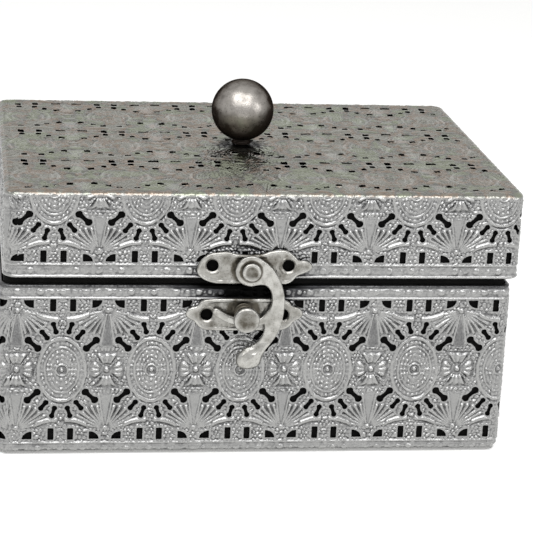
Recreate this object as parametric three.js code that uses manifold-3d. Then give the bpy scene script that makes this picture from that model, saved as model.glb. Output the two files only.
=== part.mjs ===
// A small box of embossed, pierced sheet metal over boards, with a hinged lid, a ball knob and a hook clasp.
// Millimetres, +Z up, the front toward -Y. The origin is the middle of the underside.
import * as THREE from 'three';
import { mergeVertices } from 'three/addons/utils/BufferGeometryUtils.js';
import Module from 'manifold-3d';

const wasm = await Module();
wasm.setup();

// Overall sizes
const boxWidth = 178;
const boxDepth = 133;
const baseHeight = 62;
const lidHeight = 30.3;
const lidGap = 2.3; // open line between base and lid
const lidShift = 1.9; // the lid sits this far right of the base
const cornerRadius = 5;

// Sheet metal
const sheetThickness = 1.5; // with its embossing
const rimRadius = 2.2; // rolled top edge of the base
const footRadius = 3; // rolled bottom edge of the base
const footClearance = 0.3; // the rolled foot stays this far above the table
const hemRadius = 1; // bottom edge of the lid
const bendRadius = 2.2; // top edge of the lid
const foldReach = 4; // how far the side sheets fold over the top of the lid
const reliefHeight = 0.6; // the shapes of the side sheets stand this far off their ground
const reliefSlope = 0.2;
const borderWidth = 4.9; // from the edge of a side sheet to its ground
const ridgeWidth = 1.2; // the raised line above the hem of the lid

// Boards and lining
const boardThickness = 5;
const floorThickness = 3;
const topThickness = 4;
const coverThickness = 1.5;
const liningThickness = 1.2;
const padThickness = 2.5;
const liningDrop = 1; // the lining stops this far under the edge of its board

// Fits
const seat = 0.3; // between two pieces that lie against each other
const overrun = 2; // how far a cutter passes what it cuts
const weld = 0.0001; // points closer than this are one point

// Piercing
const motifPitch = 30.6; // medallion to medallion
const baseMotifAcross = -4.6; // a medallion's axis on the front of the base
const baseMotifLift = 0.3; // medallion centres above the middle of the base's height
const rowInset = 7.65; // from a row of slots to the edge of its sheet
const lidMotifAcross = -10.2;
const lidMotifDrop = 0.4; // the lid's medallions are cut in half near its top edge
const topMotifAcross = -16.5;
const topMotifBack = 38; // the back row of medallions on the top
const topRowPitch = 42;
const topRowRise = 21;
const slotWidth = 2.1;
const slotHeight = 4.3;
const cornerHoleWidth = 3.4;
const cornerHoleHeight = 2.8;
const boneLength = 6.4;
const boneWidth = 2.5;
const boneTilt = THREE.MathUtils.degToRad(41);
const pierceMargin = 0.8; // metal left beside the end of a sheet

// Knob
const knobRadius = 10.8;
const knobShift = -1.2; // from the lid's middle
const collarRadius = 3.6;
const collarHeight = 2.1;
const knobShankRadius = 2;
const washerRadius = 5;
const washerThickness = 1;
const nutRadius = 4;
const nutThickness = 2.8;
const shankEnd = 1; // thread that shows past the nut

// Clasp
const pivotAcross = -3.6;
const pivotRise = 3.7; // above the lower edge of the lid
const plateThickness = 1;
const plateReach = 16.8; // from the middle of a plate to the end of its lobes
const hookThickness = 1.4;
const hookStandoff = 0.8; // between the plates and the hook
const hookLength = 35.4; // pivot to the end of the thumb tab
const hookRingRadius = 5.4;
const prongRadius = 17.3; // the inner edge of the prong, an arc about the pivot
const prongWidth = 2.1;
const rivetHeadRadius = 2.95;
const rivetHeadThickness = 1.4;
const rivetShankRadius = 1.5;
const rivetDish = 0.35;
const claspBite = 3; // how far rivet and stud go into the board
const plateHoleRadius = 2.1;
const plateHoleAcross = 13;
const lidPlateRise = 1.3; // middle of the plate above the pivot
const catchPlateAcross = -4.9;
const catchPlateDrop = 16.2; // middle of the plate below the pivot
const studAcross = -5.4;
const studNeckRadius = 2;
const studFlangeRadius = 3.2;
const studFlangeThickness = 0.5;
const studLength = 11; // face of the box to the front of the button
const studHeadRadius = 4.45;
const studHeadThickness = 2.4;
const studDish = 0.3;
const latchPlay = 0.15; // between the neck of the stud and the prong
const ringFrom = THREE.MathUtils.degToRad(55); // the hook's round end, about the pivot
const ringTo = THREE.MathUtils.degToRad(275);
const prongFrom = THREE.MathUtils.degToRad(-76);
const prongTo = THREE.MathUtils.degToRad(-138); // its tip

// Hinges
const hingeShare = 0.281; // of the width, from the middle of the back
const hingeLength = 22;
const hingeDrop = 12; // axis to the far edge of a leaf
const leafThickness = 1.2;
const knuckleRadius = 2;
const knuckleCount = 5;
const pinRadius = 0.8;
const pinHeadRadius = 1.5;
const pinHeadLength = 0.9;
const screwRadius = 0.9;
const screwHeadRadius = 1.8;
const screwHeadHeight = 0.7;
const screwLength = 5;
const screwShare = 0.28; // of the leaf's length, from its middle
const screwDrop = 8; // from the hinge axis

// Steps on round stretches
const cornerSteps = 4;
const edgeSteps = 3;
const roundSteps = 20;
const ovalSteps = 14;
const smallRoundSteps = 10;
const ballSteps = 13;
const nutSides = 6;

// Heights and insets that follow from the sizes
const lidBottom = baseHeight + lidGap;
const lidTop = lidBottom + lidHeight;
const baseMotifUp = baseHeight / 2 + baseMotifLift;
const baseRowRise = baseHeight / 2 - rowInset; // medallion centre to the rows of slots
const lidRowRise = lidHeight - lidMotifDrop - rowInset;
const pivotUp = lidBottom + pivotRise;
const lidPlateUp = pivotUp + lidPlateRise;
const catchPlateUp = pivotUp - catchPlateDrop;
const hingeAcross = hingeShare * boxWidth;
const screwAcross = screwShare * hingeLength;
const boardInset = sheetThickness + seat;
const cavityInset = boardInset + boardThickness;
const liningInset = cavityInset + seat;
const padInset = liningInset + liningThickness + seat;
const floorInset = footRadius + seat;
const floorBottom = coverThickness + seat;
const floorTop = floorBottom + floorThickness;
const wallBottom = floorTop + seat;
const shoulderUp = baseHeight - rimRadius - seat;
const lipInset = rimRadius + seat;
const lipTop = lidBottom - seat;
const topInset = bendRadius + seat;
const topBoardTop = lidTop - sheetThickness - seat;
const topBoardBottom = topBoardTop - topThickness;
const lidWallTop = topBoardBottom - seat;
const lidPadBottom = topBoardBottom - seat - padThickness;
const front = boxDepth / 2;
const side = boxWidth / 2;
const right = Math.PI / 2;
const half = 2 * right;
const full = 4 * right;

// Materials
const silver = new THREE.MeshStandardMaterial({ color: 0xb9b7b0, roughness: 0.38, metalness: 1 });
const dullSilver = new THREE.MeshStandardMaterial({ color: 0x8f8d80, roughness: 0.5, metalness: 1 });
const pewter = new THREE.MeshStandardMaterial({ color: 0x8a8680, roughness: 0.35, metalness: 1 });
const nickel = new THREE.MeshStandardMaterial({ color: 0xc3c0b6, roughness: 0.32, metalness: 1 });
const steel = new THREE.MeshStandardMaterial({ color: 0x77767a, roughness: 0.4, metalness: 1 });
const blackBoard = new THREE.MeshStandardMaterial({ color: 0x121112, roughness: 0.85, metalness: 0 });
const velvet = new THREE.MeshStandardMaterial({ color: 0x1c1518, roughness: 0.95, metalness: 0 });

const root = new THREE.Group();
const lid = new THREE.Group();
lid.position.x = lidShift;
root.add(lid);

function addPiece(group, name, geometry, material) {
  const mesh = new THREE.Mesh(geometry, material);
  mesh.name = name;
  group.add(mesh);
}

// Boolean cuts and joins

function toSolid(geometry) {
  const plain = geometry.clone();
  plain.deleteAttribute('normal');
  plain.deleteAttribute('uv');
  const merged = mergeVertices(plain, weld);
  const mesh = { numProp: 3, vertProperties: merged.attributes.position.array, triVerts: merged.index.array };
  return new wasm.Manifold(new wasm.Mesh(mesh));
}

function toGeometry(solid) {
  const mesh = solid.getMesh();
  const geometry = new THREE.BufferGeometry();
  geometry.setAttribute('position', new THREE.BufferAttribute(mesh.vertProperties, 3));
  geometry.setIndex(new THREE.BufferAttribute(mesh.triVerts, 1));
  geometry.computeVertexNormals();
  return geometry;
}

function cut(geometry, cutters) {
  let solid = toSolid(geometry);
  for (const cutter of cutters) {
    solid = solid.subtract(toSolid(cutter));
  }
  return toGeometry(solid);
}

function join(geometries) {
  let solid = toSolid(geometries[0]);
  for (const geometry of geometries.slice(1)) {
    solid = solid.add(toSolid(geometry));
  }
  return toGeometry(solid);
}

// Shapes

function arcPoints(across, up, radius, from, to, steps) {
  const points = [];
  for (let step = 0; step <= steps; step += 1) {
    const angle = from + (to - from) * step / steps;
    points.push(new THREE.Vector2(across + radius * Math.cos(angle), up + radius * Math.sin(angle)));
  }
  return points;
}

function rectangle(width, height) {
  const points = [[-width, -height], [width, -height], [width, height], [-width, height]];
  return points.map(([across, up]) => new THREE.Vector2(across / 2, up / 2));
}

function scaled(shares, width, height) {
  return shares.map(([across, up]) => new THREE.Vector2(across * width, up * height));
}

function moved(points, across, up, turn = 0) {
  const middle = new THREE.Vector2();
  const place = new THREE.Vector2(across, up);
  return points.map((point) => point.clone().rotateAround(middle, turn).add(place));
}

// A rounded rectangle in plan, set in from the outer faces of the box
function planOutline(inset) {
  const radius = Math.max(cornerRadius - inset, seat);
  const across = side - inset - radius;
  const along = front - inset - radius;
  return [
    ...arcPoints(across, -along, radius, -right, 0, cornerSteps),
    ...arcPoints(across, along, radius, 0, right, cornerSteps),
    ...arcPoints(-across, along, radius, right, half, cornerSteps),
    ...arcPoints(-across, -along, radius, half, half + right, cornerSteps),
  ];
}

function slab(points, bottom, top) {
  const shape = new THREE.Shape(points);
  const geometry = new THREE.ExtrudeGeometry(shape, { depth: top - bottom, bevelEnabled: false });
  return geometry.translate(0, 0, bottom);
}

function block(left, rightEnd, near, far, bottom, top) {
  const geometry = new THREE.BoxGeometry(rightEnd - left, far - near, top - bottom);
  return geometry.translate((left + rightEnd) / 2, (near + far) / 2, (bottom + top) / 2);
}

// A flat outline stood up as a face of the box: its back lies this far out from the middle
function facing(points, backOut, thickness, turn = 0) {
  const shape = new THREE.Shape(points);
  const geometry = new THREE.ExtrudeGeometry(shape, { depth: thickness, bevelEnabled: false });
  return geometry.rotateX(right).translate(0, -backOut, 0).rotateZ(turn);
}

// Turned pieces: profile points are [radius, distance along the axis]
function turned(profile, steps) {
  return new THREE.LatheGeometry(profile.map(([radius, along]) => new THREE.Vector2(radius, along)), steps);
}

function turnedOut(profile, across, up, steps, turn = 0) {
  return turned(profile, steps).rotateX(half).translate(across, 0, up).rotateZ(turn);
}

function turnedUp(profile, across, steps) {
  return turned(profile, steps).rotateX(right).translate(across, 0, 0);
}

function roundHole(radius, across, up) {
  return arcPoints(across, up, radius, 0, full, smallRoundSteps).slice(1);
}

function boreOut(across, up, radius, inner, outer, turn = 0) {
  return facing(roundHole(radius, across, up), inner, outer - inner, turn);
}

function boreUp(across, radius, bottom, top) {
  return slab(roundHole(radius, across, 0), bottom, top);
}

// Bent sheets. A station is a place on the outer face with its outward direction;
// a profile is a closed line of distances out and up, counterclockwise.

function faceStations() {
  const reach = side - cornerRadius - seat;
  return [[-reach, -front, 0, -1], [reach, -front, 0, -1]];
}

function endStations() {
  const stations = [];
  for (const [along, from] of [[-(front - cornerRadius), -right], [front - cornerRadius, 0]]) {
    for (let step = 0; step <= cornerSteps; step += 1) {
      const angle = from + right * step / cornerSteps;
      const out = [Math.cos(angle), Math.sin(angle)];
      stations.push([side - cornerRadius + cornerRadius * out[0], along + cornerRadius * out[1], ...out]);
    }
  }
  return stations;
}

function bentSheet(stations, profile) {
  const positions = [];
  for (const [x, y, outX, outY] of stations) {
    for (const point of profile) {
      positions.push(x + outX * point.x, y + outY * point.x, point.y);
    }
  }
  const count = profile.length;
  const indices = [];
  for (let station = 0; station < stations.length - 1; station += 1) {
    for (let place = 0; place < count; place += 1) {
      const here = station * count + place;
      const next = station * count + (place + 1) % count;
      indices.push(here, here + count, next, next, here + count, next + count);
    }
  }
  const last = (stations.length - 1) * count;
  for (const [a, b, c] of THREE.ShapeUtils.triangulateShape(profile, [])) {
    indices.push(a, b, c, last + a, last + c, last + b);
  }
  const geometry = new THREE.BufferGeometry();
  geometry.setAttribute('position', new THREE.Float32BufferAttribute(positions, 3));
  geometry.setIndex(indices);
  return geometry;
}

// Where a section steps down to the ground of the relief and up again
function groundPoints(bottom, top) {
  const steps = [[0, bottom - reliefSlope], [-reliefHeight, bottom], [-reliefHeight, top], [0, top + reliefSlope]];
  return steps.map(([out, up]) => new THREE.Vector2(out, up));
}

const footCentre = footClearance + footRadius;
const rimCentre = baseHeight - rimRadius;
const baseProfile = [
  ...arcPoints(-footRadius, footCentre, footRadius, -right, 0, edgeSteps),
  ...groundPoints(footClearance + borderWidth, baseHeight - borderWidth),
  ...arcPoints(-rimRadius, rimCentre, rimRadius, 0, right, edgeSteps),
  ...arcPoints(-rimRadius, rimCentre, rimRadius - sheetThickness, right, 0, edgeSteps),
  ...arcPoints(-footRadius, footCentre, footRadius - sheetThickness, 0, -right, edgeSteps),
];

const bendCentre = lidTop - bendRadius;
const lidGround = lidBottom + borderWidth;
const lidProfile = [
  ...arcPoints(-hemRadius, lidBottom + hemRadius, hemRadius, -right, 0, edgeSteps),
  ...groundPoints(lidBottom + hemRadius + 2 * reliefSlope, lidGround - ridgeWidth),
  ...groundPoints(lidGround, bendCentre - 2 * reliefSlope),
  ...arcPoints(-bendRadius, bendCentre, bendRadius, 0, right, edgeSteps),
  new THREE.Vector2(-foldReach, lidTop),
  new THREE.Vector2(-foldReach, lidTop - sheetThickness),
  ...arcPoints(-bendRadius, bendCentre, bendRadius - sheetThickness, right, 0, edgeSteps),
  new THREE.Vector2(-sheetThickness, lidBottom),
];

// Pierced pattern. Around each medallion lie slots, corner holes beside the feet of the fans
// and slanting bone holes; across is a share of the pitch, up a share of the row rise.
const cornerHoleShares = [[-0.5, -0.5], [0.5, -0.5], [0.2, 0.25], [-0.5, 0.5]];
const slotPlaceShares = [0.11, 1];
const cornerPlaceShares = [0.375, 1.02];
const bonePlaceShares = [0.322, 0.402];

// Raised shapes. An oval stands at each medallion; half-way to the next are a flower of two crossed
// hourglasses, and a fan at each border whose long middle leaf points at the flower.
const ovalShares = [0.27, 0.51];
const uprightShares = [[-0.104, -0.257], [0.104, -0.257], [0.02, 0], [0.104, 0.257], [-0.104, 0.257], [-0.02, 0]];
const lyingShares = [[-0.2, -0.126], [0, -0.025], [0.2, -0.126], [0.2, 0.126], [0, 0.025], [-0.2, 0.126]];
const fanPlaceShares = [0.5, 0.912];
const fanHalfShares = [
  [0.329, -0.069], [0.245, -0.186], [0.16, -0.278], [0.055, -0.325], [0.075, -0.557],
];

function motifForms(rowRise, fanSides) {
  const [ovalAcross, ovalUp] = ovalShares;
  const oval = arcPoints(0, 0, ovalAcross, 0, full, ovalSteps).slice(1).map((point) => point.toArray());
  const forms = [scaled(oval, motifPitch, rowRise * ovalUp / ovalAcross)];
  const [fanAcross, fanUp] = fanPlaceShares;
  for (const flower of [uprightShares, lyingShares]) {
    forms.push(moved(scaled(flower, motifPitch, rowRise), fanAcross * motifPitch, 0));
  }
  const fan = [[0, 0], ...fanHalfShares, ...fanHalfShares.slice().reverse().map(([across, up]) => [-across, up])];
  for (const flipUp of fanSides) {
    const outline = scaled(fan, motifPitch, flipUp * rowRise);
    forms.push(moved(outline, fanAcross * motifPitch, flipUp * fanUp * rowRise));
  }
  return forms;
}

// Bone holes stand on both sides of the medallion line, slots and corner holes on the sides asked for
function motifHoles(rowRise, slotSides) {
  const holes = [];
  const slot = rectangle(slotWidth, slotHeight);
  const bone = rectangle(boneLength, boneWidth);
  for (const flipAcross of [-1, 1]) {
    const [slotAcross, cornerAcross, boneAcross] = [slotPlaceShares, cornerPlaceShares, bonePlaceShares]
      .map(([across]) => flipAcross * across * motifPitch);
    for (const flipUp of [-1, 1]) {
      const tilt = flipAcross * flipUp * boneTilt;
      holes.push(moved(bone, boneAcross, flipUp * bonePlaceShares[1] * rowRise, tilt));
    }
    for (const flipUp of slotSides) {
      const corner = scaled(cornerHoleShares, flipAcross * cornerHoleWidth, -flipUp * cornerHoleHeight);
      holes.push(moved(slot, slotAcross, flipUp * slotPlaceShares[1] * rowRise));
      holes.push(moved(corner, cornerAcross, flipUp * cornerPlaceShares[1] * rowRise));
    }
  }
  return holes;
}

// The pattern's outlines repeated over a face, the ones that reach past its ends among them
function patternOutlines(phase, rows, motif, acrossLimit) {
  const outlines = [];
  const first = Math.ceil((-acrossLimit - phase) / motifPitch) - 1;
  const last = Math.floor((acrossLimit - phase) / motifPitch) + 1;
  for (let copy = first; copy <= last; copy += 1) {
    for (const up of rows) {
      for (const shape of motif) {
        const points = moved(shape, phase + copy * motifPitch, up);
        outlines.push(THREE.ShapeUtils.area(points) < 0 ? points.reverse() : points);
      }
    }
  }
  return outlines;
}

// Every hole of the pattern that lies whole within the limits
function patternHoles(phase, rows, motif, acrossLimit, lowLimit, highLimit) {
  return patternOutlines(phase, rows, motif, acrossLimit).filter((points) => points.every(
    (point) => Math.abs(point.x) < acrossLimit && point.y > lowLimit && point.y < highLimit));
}

// The raised shapes of a face as one body, cut off at the limits; its front is the outer face
function patternRelief(phase, up, forms, acrossLimit, highLimit, out) {
  const depth = reliefHeight + seat;
  const outlines = patternOutlines(phase, [up], forms, acrossLimit)
    .filter((points) => points.some((point) => Math.abs(point.x) < acrossLimit));
  const raised = join(outlines.map((points) => facing(points, out - depth, depth)));
  const field = rectangle(2 * acrossLimit, 2 * highLimit);
  const window = facing(field, out - depth - overrun, depth + 2 * overrun);
  return toGeometry(toSolid(raised).intersect(toSolid(window)));
}

// The pattern runs on round the corners: each face starts where the one before it stopped
function facePhase(phase, faceNumber) {
  const faceRun = side + front - 2 * cornerRadius + cornerRadius * right;
  const shifted = phase - faceNumber * faceRun;
  return shifted - motifPitch * Math.round(shifted / motifPitch);
}

// Four sheets round a box part. The end sheets wrap the corners; the front and back lie flat between them.
function wallSheets(group, name, profile, pattern, extraCutters) {
  const faces = ['front', 'right', 'back', 'left'];
  faces.forEach((face, number) => {
    const flat = number % 2 === 0;
    const out = flat ? front : side;
    const limit = (flat ? side : front) - cornerRadius - pierceMargin;
    const blank = bentSheet(flat ? faceStations() : endStations(), profile).rotateZ(number > 1 ? half : 0);
    const phase = facePhase(pattern.across, number);
    const relief = patternRelief(phase, pattern.up, pattern.forms, limit, pattern.high, out);
    const raised = join([blank, relief.rotateZ(number * right)]);
    const holes = patternHoles(phase, [pattern.up], pattern.motif, limit, pattern.low, pattern.high);
    const cutters = holes.map((points) => facing(
      points, out - sheetThickness - overrun, sheetThickness + 2 * overrun, number * right));
    addPiece(group, `${name}_${face}_sheet`, cut(raised, [...cutters, ...extraCutters[face]]), silver);
  });
}

// The boards of a box part: front and back across the whole width, ends between them
function wallBoards(group, name, layers, cutters) {
  const inner = front - cavityInset;
  for (const face of ['front', 'back']) {
    const turn = face === 'back' ? half : 0;
    const strips = layers.map(({ inset, bottom, top }) => {
      const outline = slab(planOutline(inset), bottom, top);
      const keep = block(-side, side, -front, -inner, bottom - overrun, top + overrun);
      return toGeometry(toSolid(outline).intersect(toSolid(keep))).rotateZ(turn);
    });
    addPiece(group, `${name}_${face}_board`, cut(join(strips), cutters[face]), blackBoard);
  }
  for (const [face, turn] of [['right', 0], ['left', half]]) {
    const reach = inner - seat;
    const strips = layers.map(({ inset, bottom, top }) => block(
      side - cavityInset, side - inset, -reach, reach, bottom, top));
    addPiece(group, `${name}_${face}_board`, join(strips).rotateZ(turn), blackBoard);
  }
}

// Lining panels stand against the boards; the end panels stand between the front and back ones
function wallLinings(group, name, bottom, top) {
  const out = front - liningInset;
  const reach = side - liningInset;
  const between = out - liningThickness - seat;
  for (const [face, turn] of [['front', 0], ['back', half]]) {
    const panel = block(-reach, reach, -out, -out + liningThickness, bottom, top);
    addPiece(group, `${name}_${face}_lining`, panel.rotateZ(turn), velvet);
  }
  for (const [face, turn] of [['right', 0], ['left', half]]) {
    const panel = block(reach - liningThickness, reach, -between, between, bottom, top);
    addPiece(group, `${name}_${face}_lining`, panel.rotateZ(turn), velvet);
  }
}

function padBlock(bottom, top) {
  return block(padInset - side, side - padInset, padInset - front, front - padInset, bottom, top);
}

// Places of the hinge screws, seen from the back: across is the part's own X
const axisOut = front + seat + knuckleRadius;
const axisUp = baseHeight + lidGap / 2;
const hinges = [['left', -hingeAcross + lidShift / 2], ['right', hingeAcross + lidShift / 2]];

function screwPlaces(hingeX, groupShift) {
  return [-screwAcross, screwAcross].map((offset) => hingeX + offset - groupShift);
}

function screwBores(upward, groupShift, inner, outer) {
  const up = axisUp + upward * screwDrop;
  const places = hinges.flatMap(([, hingeX]) => screwPlaces(hingeX, groupShift));
  return places.map((x) => boreOut(-x, up, screwRadius + seat, inner, outer, half));
}

const screwEnd = front + seat + leafThickness - screwLength - overrun;
const claspEnd = front - boardInset - claspBite - seat;
const studUp = pivotUp - Math.sqrt((prongRadius - latchPlay - studNeckRadius) ** 2
  - (studAcross - pivotAcross) ** 2);
const pivotLocal = pivotAcross - lidShift;
const studBore = boreOut(studAcross, studUp, rivetShankRadius + seat, claspEnd, front + overrun);
const rivetBore = boreOut(pivotLocal, pivotUp, rivetShankRadius + seat, claspEnd, front + overrun);

// Base

function buildBase() {
  const patternEdge = pierceMargin + footRadius;
  const pattern = {
    across: baseMotifAcross, up: baseMotifUp,
    motif: motifHoles(baseRowRise, [-1, 1]), forms: motifForms(baseRowRise, [-1, 1]),
    low: footClearance + patternEdge, high: baseHeight - patternEdge,
  };
  const backBores = screwBores(-1, 0, screwEnd, front + overrun);
  wallSheets(root, 'base', baseProfile, pattern, { front: [studBore], right: [], back: backBores, left: [] });
  const layers = [
    { inset: boardInset, bottom: wallBottom, top: shoulderUp },
    { inset: lipInset, bottom: shoulderUp, top: lipTop },
  ];
  wallBoards(root, 'base', layers, { front: [studBore], back: backBores });
  addPiece(root, 'base_floor_board', slab(planOutline(floorInset), floorBottom, floorTop), blackBoard);
  addPiece(root, 'base_bottom_cover', slab(planOutline(floorInset), 0, coverThickness), velvet);
  wallLinings(root, 'base', wallBottom, lipTop - liningDrop);
  addPiece(root, 'base_floor_pad', padBlock(wallBottom, wallBottom + padThickness), velvet);
}

// Lid

function buildLid() {
  const pattern = {
    across: lidMotifAcross, up: lidTop - lidMotifDrop,
    motif: motifHoles(lidRowRise, [-1]), forms: motifForms(lidRowRise, [-1]),
    low: lidBottom + pierceMargin + hemRadius, high: bendCentre,
  };
  const backBores = screwBores(1, lidShift, screwEnd, front + overrun);
  wallSheets(lid, 'lid', lidProfile, pattern, { front: [rivetBore], right: [], back: backBores, left: [] });
  wallBoards(lid, 'lid', [{ inset: boardInset, bottom: lidBottom, top: lidWallTop }],
    { front: [rivetBore], back: backBores });

  const shankBore = boreUp(knobShift, knobShankRadius + seat, lidPadBottom - overrun, lidTop + overrun);
  const sheetInset = foldReach + seat;
  const holeReach = sheetInset + pierceMargin;
  const rows = [0, 1, 2].map((row) => topMotifBack - row * topRowPitch);
  const [across, along] = [side - holeReach, front - holeReach];
  const holes = patternHoles(topMotifAcross, rows, motifHoles(topRowRise, [1]), across, -along, along);
  const collarEdge = collarRadius + pierceMargin;
  const knobPlace = new THREE.Vector2(knobShift, 0);
  const cutters = holes.filter((points) => points.every((point) => point.distanceTo(knobPlace) > collarEdge))
    .map((points) => slab(points, lidTop - sheetThickness - overrun, lidTop + overrun));
  const topSheet = slab(planOutline(sheetInset), lidTop - sheetThickness, lidTop);
  addPiece(lid, 'lid_top_sheet', cut(topSheet, [...cutters, shankBore]), dullSilver);
  const topBoard = slab(planOutline(topInset), topBoardBottom, topBoardTop);
  addPiece(lid, 'lid_top_board', cut(topBoard, [shankBore]), blackBoard);
  addPiece(lid, 'lid_top_pad', cut(padBlock(lidPadBottom, topBoardBottom - seat), [shankBore]), velvet);
  wallLinings(lid, 'lid', lidBottom + liningDrop, lidPadBottom - seat);
}

// Knob: a ball with its own shank, on a collar, held by a washer and a nut inside the lid

function buildKnob() {
  const ballBottom = lidTop + seat + collarHeight;
  const ballCentre = ballBottom + knobRadius;
  const washerTop = lidPadBottom - seat;
  const nutTop = washerTop - washerThickness - seat;
  const shankBottom = nutTop - nutThickness - shankEnd;
  const shankJoint = Math.asin(knobShankRadius / knobRadius) - right;
  const ball = arcPoints(0, ballCentre, knobRadius, shankJoint, right, ballSteps).slice(0, -1);
  const knob = [
    [0, shankBottom], [knobShankRadius, shankBottom], ...ball.map((point) => point.toArray()),
    [0, ballCentre + knobRadius],
  ];
  addPiece(lid, 'knob', turnedUp(knob, knobShift, roundSteps), pewter);

  const inner = knobShankRadius + seat;
  const rings = [
    ['knob_collar', collarRadius, lidTop + seat, ballBottom, roundSteps, pewter],
    ['knob_washer', washerRadius, washerTop - washerThickness, washerTop, roundSteps, steel],
    ['knob_nut', nutRadius, nutTop - nutThickness, nutTop, nutSides, steel],
  ];
  for (const [name, outer, bottom, top, steps, material] of rings) {
    const section = [[inner, bottom], [outer, bottom], [outer, top], [inner, top], [inner, bottom]];
    addPiece(lid, name, turnedUp(section, knobShift, steps), material);
  }
}

// Clasp. Outlines are shares of the plate's reach or of the hook's length, from the piece's own middle.
const lidPlateShares = [
  [-1.04, -0.03], [-0.97, 0.14], [-0.82, 0.27], [-0.63, 0.29], [-0.46, 0.31], [-0.29, 0.23],
  [-0.03, 0.22], [0.24, 0.24], [0.39, 0.31], [0.6, 0.35], [0.76, 0.34], [0.91, 0.22], [0.98, 0.155],
  [1.09, 0.18], [1.19, 0.12], [1.23, 0.04], [1.18, -0.03], [1.08, -0.09], [0.98, -0.13], [0.93, -0.18],
  [0.86, -0.28], [0.76, -0.33], [0.65, -0.33], [0.1, -0.325], [-0.62, -0.33], [-0.8, -0.3],
  [-0.93, -0.22], [-1.02, -0.12],
];
const catchHalfShares = [
  [0, 0.345], [0.75, 0.345], [0.91, 0.28], [0.98, 0.17], [1.1, 0.16], [1.19, 0.08], [1.21, 0], [1.16, -0.08],
  [1.02, -0.14], [0.95, -0.25], [0.84, -0.32], [0.7, -0.345], [0, -0.345],
];
const mouthShares = [
  [0.09, -0.135], [0.15, -0.14], [0.192, -0.19], [0.21, -0.25], [0.213, -0.32], [0.195, -0.38],
  [0.16, -0.425],
];
const tabShares = [
  [0.155, -0.53], [0.155, -0.605], [0.123, -0.685], [0.055, -0.747], [-0.013, -0.77], [-0.062, -0.812],
  [-0.093, -0.845], [-0.11, -0.895], [-0.1, -0.967], [-0.025, -1], [0.07, -0.988], [0.128, -0.955],
  [0.142, -0.895], [0.173, -0.802], [0.24, -0.71], [0.3, -0.605], [0.33, -0.48], [0.343, -0.345],
  [0.337, -0.24], [0.29, -0.085], [0.193, 0.05],
];

function buildClasp() {
  const plateBack = front + seat;
  const plateOut = plateBack + plateThickness;
  const hookBack = plateOut + hookStandoff;
  const hookOut = hookBack + hookThickness;
  const plateBores = (centre, up) => [-plateHoleAcross, plateHoleAcross].map((offset) => boreOut(
    centre + offset, up, plateHoleRadius, front, plateOut + overrun));
  const clearHole = rivetShankRadius + seat;

  const lidPlateOutline = scaled(lidPlateShares, plateReach, plateReach);
  const lidPlate = moved(lidPlateOutline, pivotLocal, lidPlateUp - plateHoleRadius / 2);
  addPiece(lid, 'clasp_lid_plate', cut(facing(lidPlate.reverse(), plateBack, plateThickness), [
    ...plateBores(pivotLocal, lidPlateUp), boreOut(pivotLocal, pivotUp, clearHole, front, plateOut + overrun),
  ]), nickel);

  const rightEnd = scaled(catchHalfShares, plateReach, plateReach);
  const leftEnd = rightEnd.slice(1, -1).reverse().map((point) => new THREE.Vector2(-point.x, point.y));
  const catchPlate = moved([...rightEnd, ...leftEnd], catchPlateAcross, catchPlateUp);
  addPiece(root, 'clasp_catch_plate', cut(facing(catchPlate.reverse(), plateBack, plateThickness), [
    ...plateBores(catchPlateAcross, catchPlateUp),
    boreOut(studAcross, studUp, clearHole, front, plateOut + overrun),
  ]), nickel);

  const tipRadius = prongWidth / 2;
  const tipRun = prongRadius + tipRadius;
  const outline = [
    ...arcPoints(0, 0, hookRingRadius, ringFrom, ringTo, smallRoundSteps),
    ...scaled(mouthShares, hookLength, hookLength),
    ...arcPoints(0, 0, prongRadius, prongFrom, prongTo, smallRoundSteps / 2),
    ...arcPoints(tipRun * Math.cos(prongTo), tipRun * Math.sin(prongTo), tipRadius,
      prongTo + half, prongTo + full, edgeSteps + 1).slice(1, -1),
    ...arcPoints(0, 0, prongRadius + prongWidth, prongTo, prongFrom, smallRoundSteps / 2),
    ...scaled(tabShares, hookLength, hookLength),
  ];
  const hookPoints = moved(outline, pivotLocal, pivotUp);
  addPiece(lid, 'clasp_hook', cut(facing(hookPoints, hookBack, hookThickness), [
    boreOut(pivotLocal, pivotUp, clearHole, hookBack - overrun, hookOut + overrun)]), nickel);

  const headBack = hookOut + seat / 2;
  const headOut = headBack + rivetHeadThickness;
  const rivet = [
    [0, claspEnd + seat], [rivetShankRadius, claspEnd + seat], [rivetShankRadius, headBack],
    [rivetHeadRadius, headBack], [rivetHeadRadius, headOut - rivetDish],
    [rivetHeadRadius - rivetDish, headOut], [rivetShankRadius, headOut], [0, headOut - rivetDish],
  ];
  addPiece(lid, 'clasp_rivet', turnedOut(rivet, pivotLocal, pivotUp, roundSteps), nickel);

  const flangeBack = plateOut + seat / 2;
  const flangeOut = flangeBack + studFlangeThickness;
  const buttonOut = front + studLength;
  const buttonBack = buttonOut - studHeadThickness;
  const stud = [
    [0, claspEnd + seat], [rivetShankRadius, claspEnd + seat], [rivetShankRadius, flangeBack],
    [studFlangeRadius, flangeBack], [studFlangeRadius, flangeOut], [studNeckRadius, flangeOut],
    [studNeckRadius, buttonBack], [studHeadRadius - studDish, buttonBack],
    [studHeadRadius, buttonBack + studDish], [studHeadRadius, buttonOut - studDish],
    [studHeadRadius - studDish, buttonOut], [studNeckRadius, buttonOut], [0, buttonOut - studDish],
  ];
  addPiece(root, 'clasp_stud', turnedOut(stud, studAcross, studUp, roundSteps), nickel);
}

// Hinges: two leaves with interlocking knuckles, a headed pin and four screws each

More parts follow.
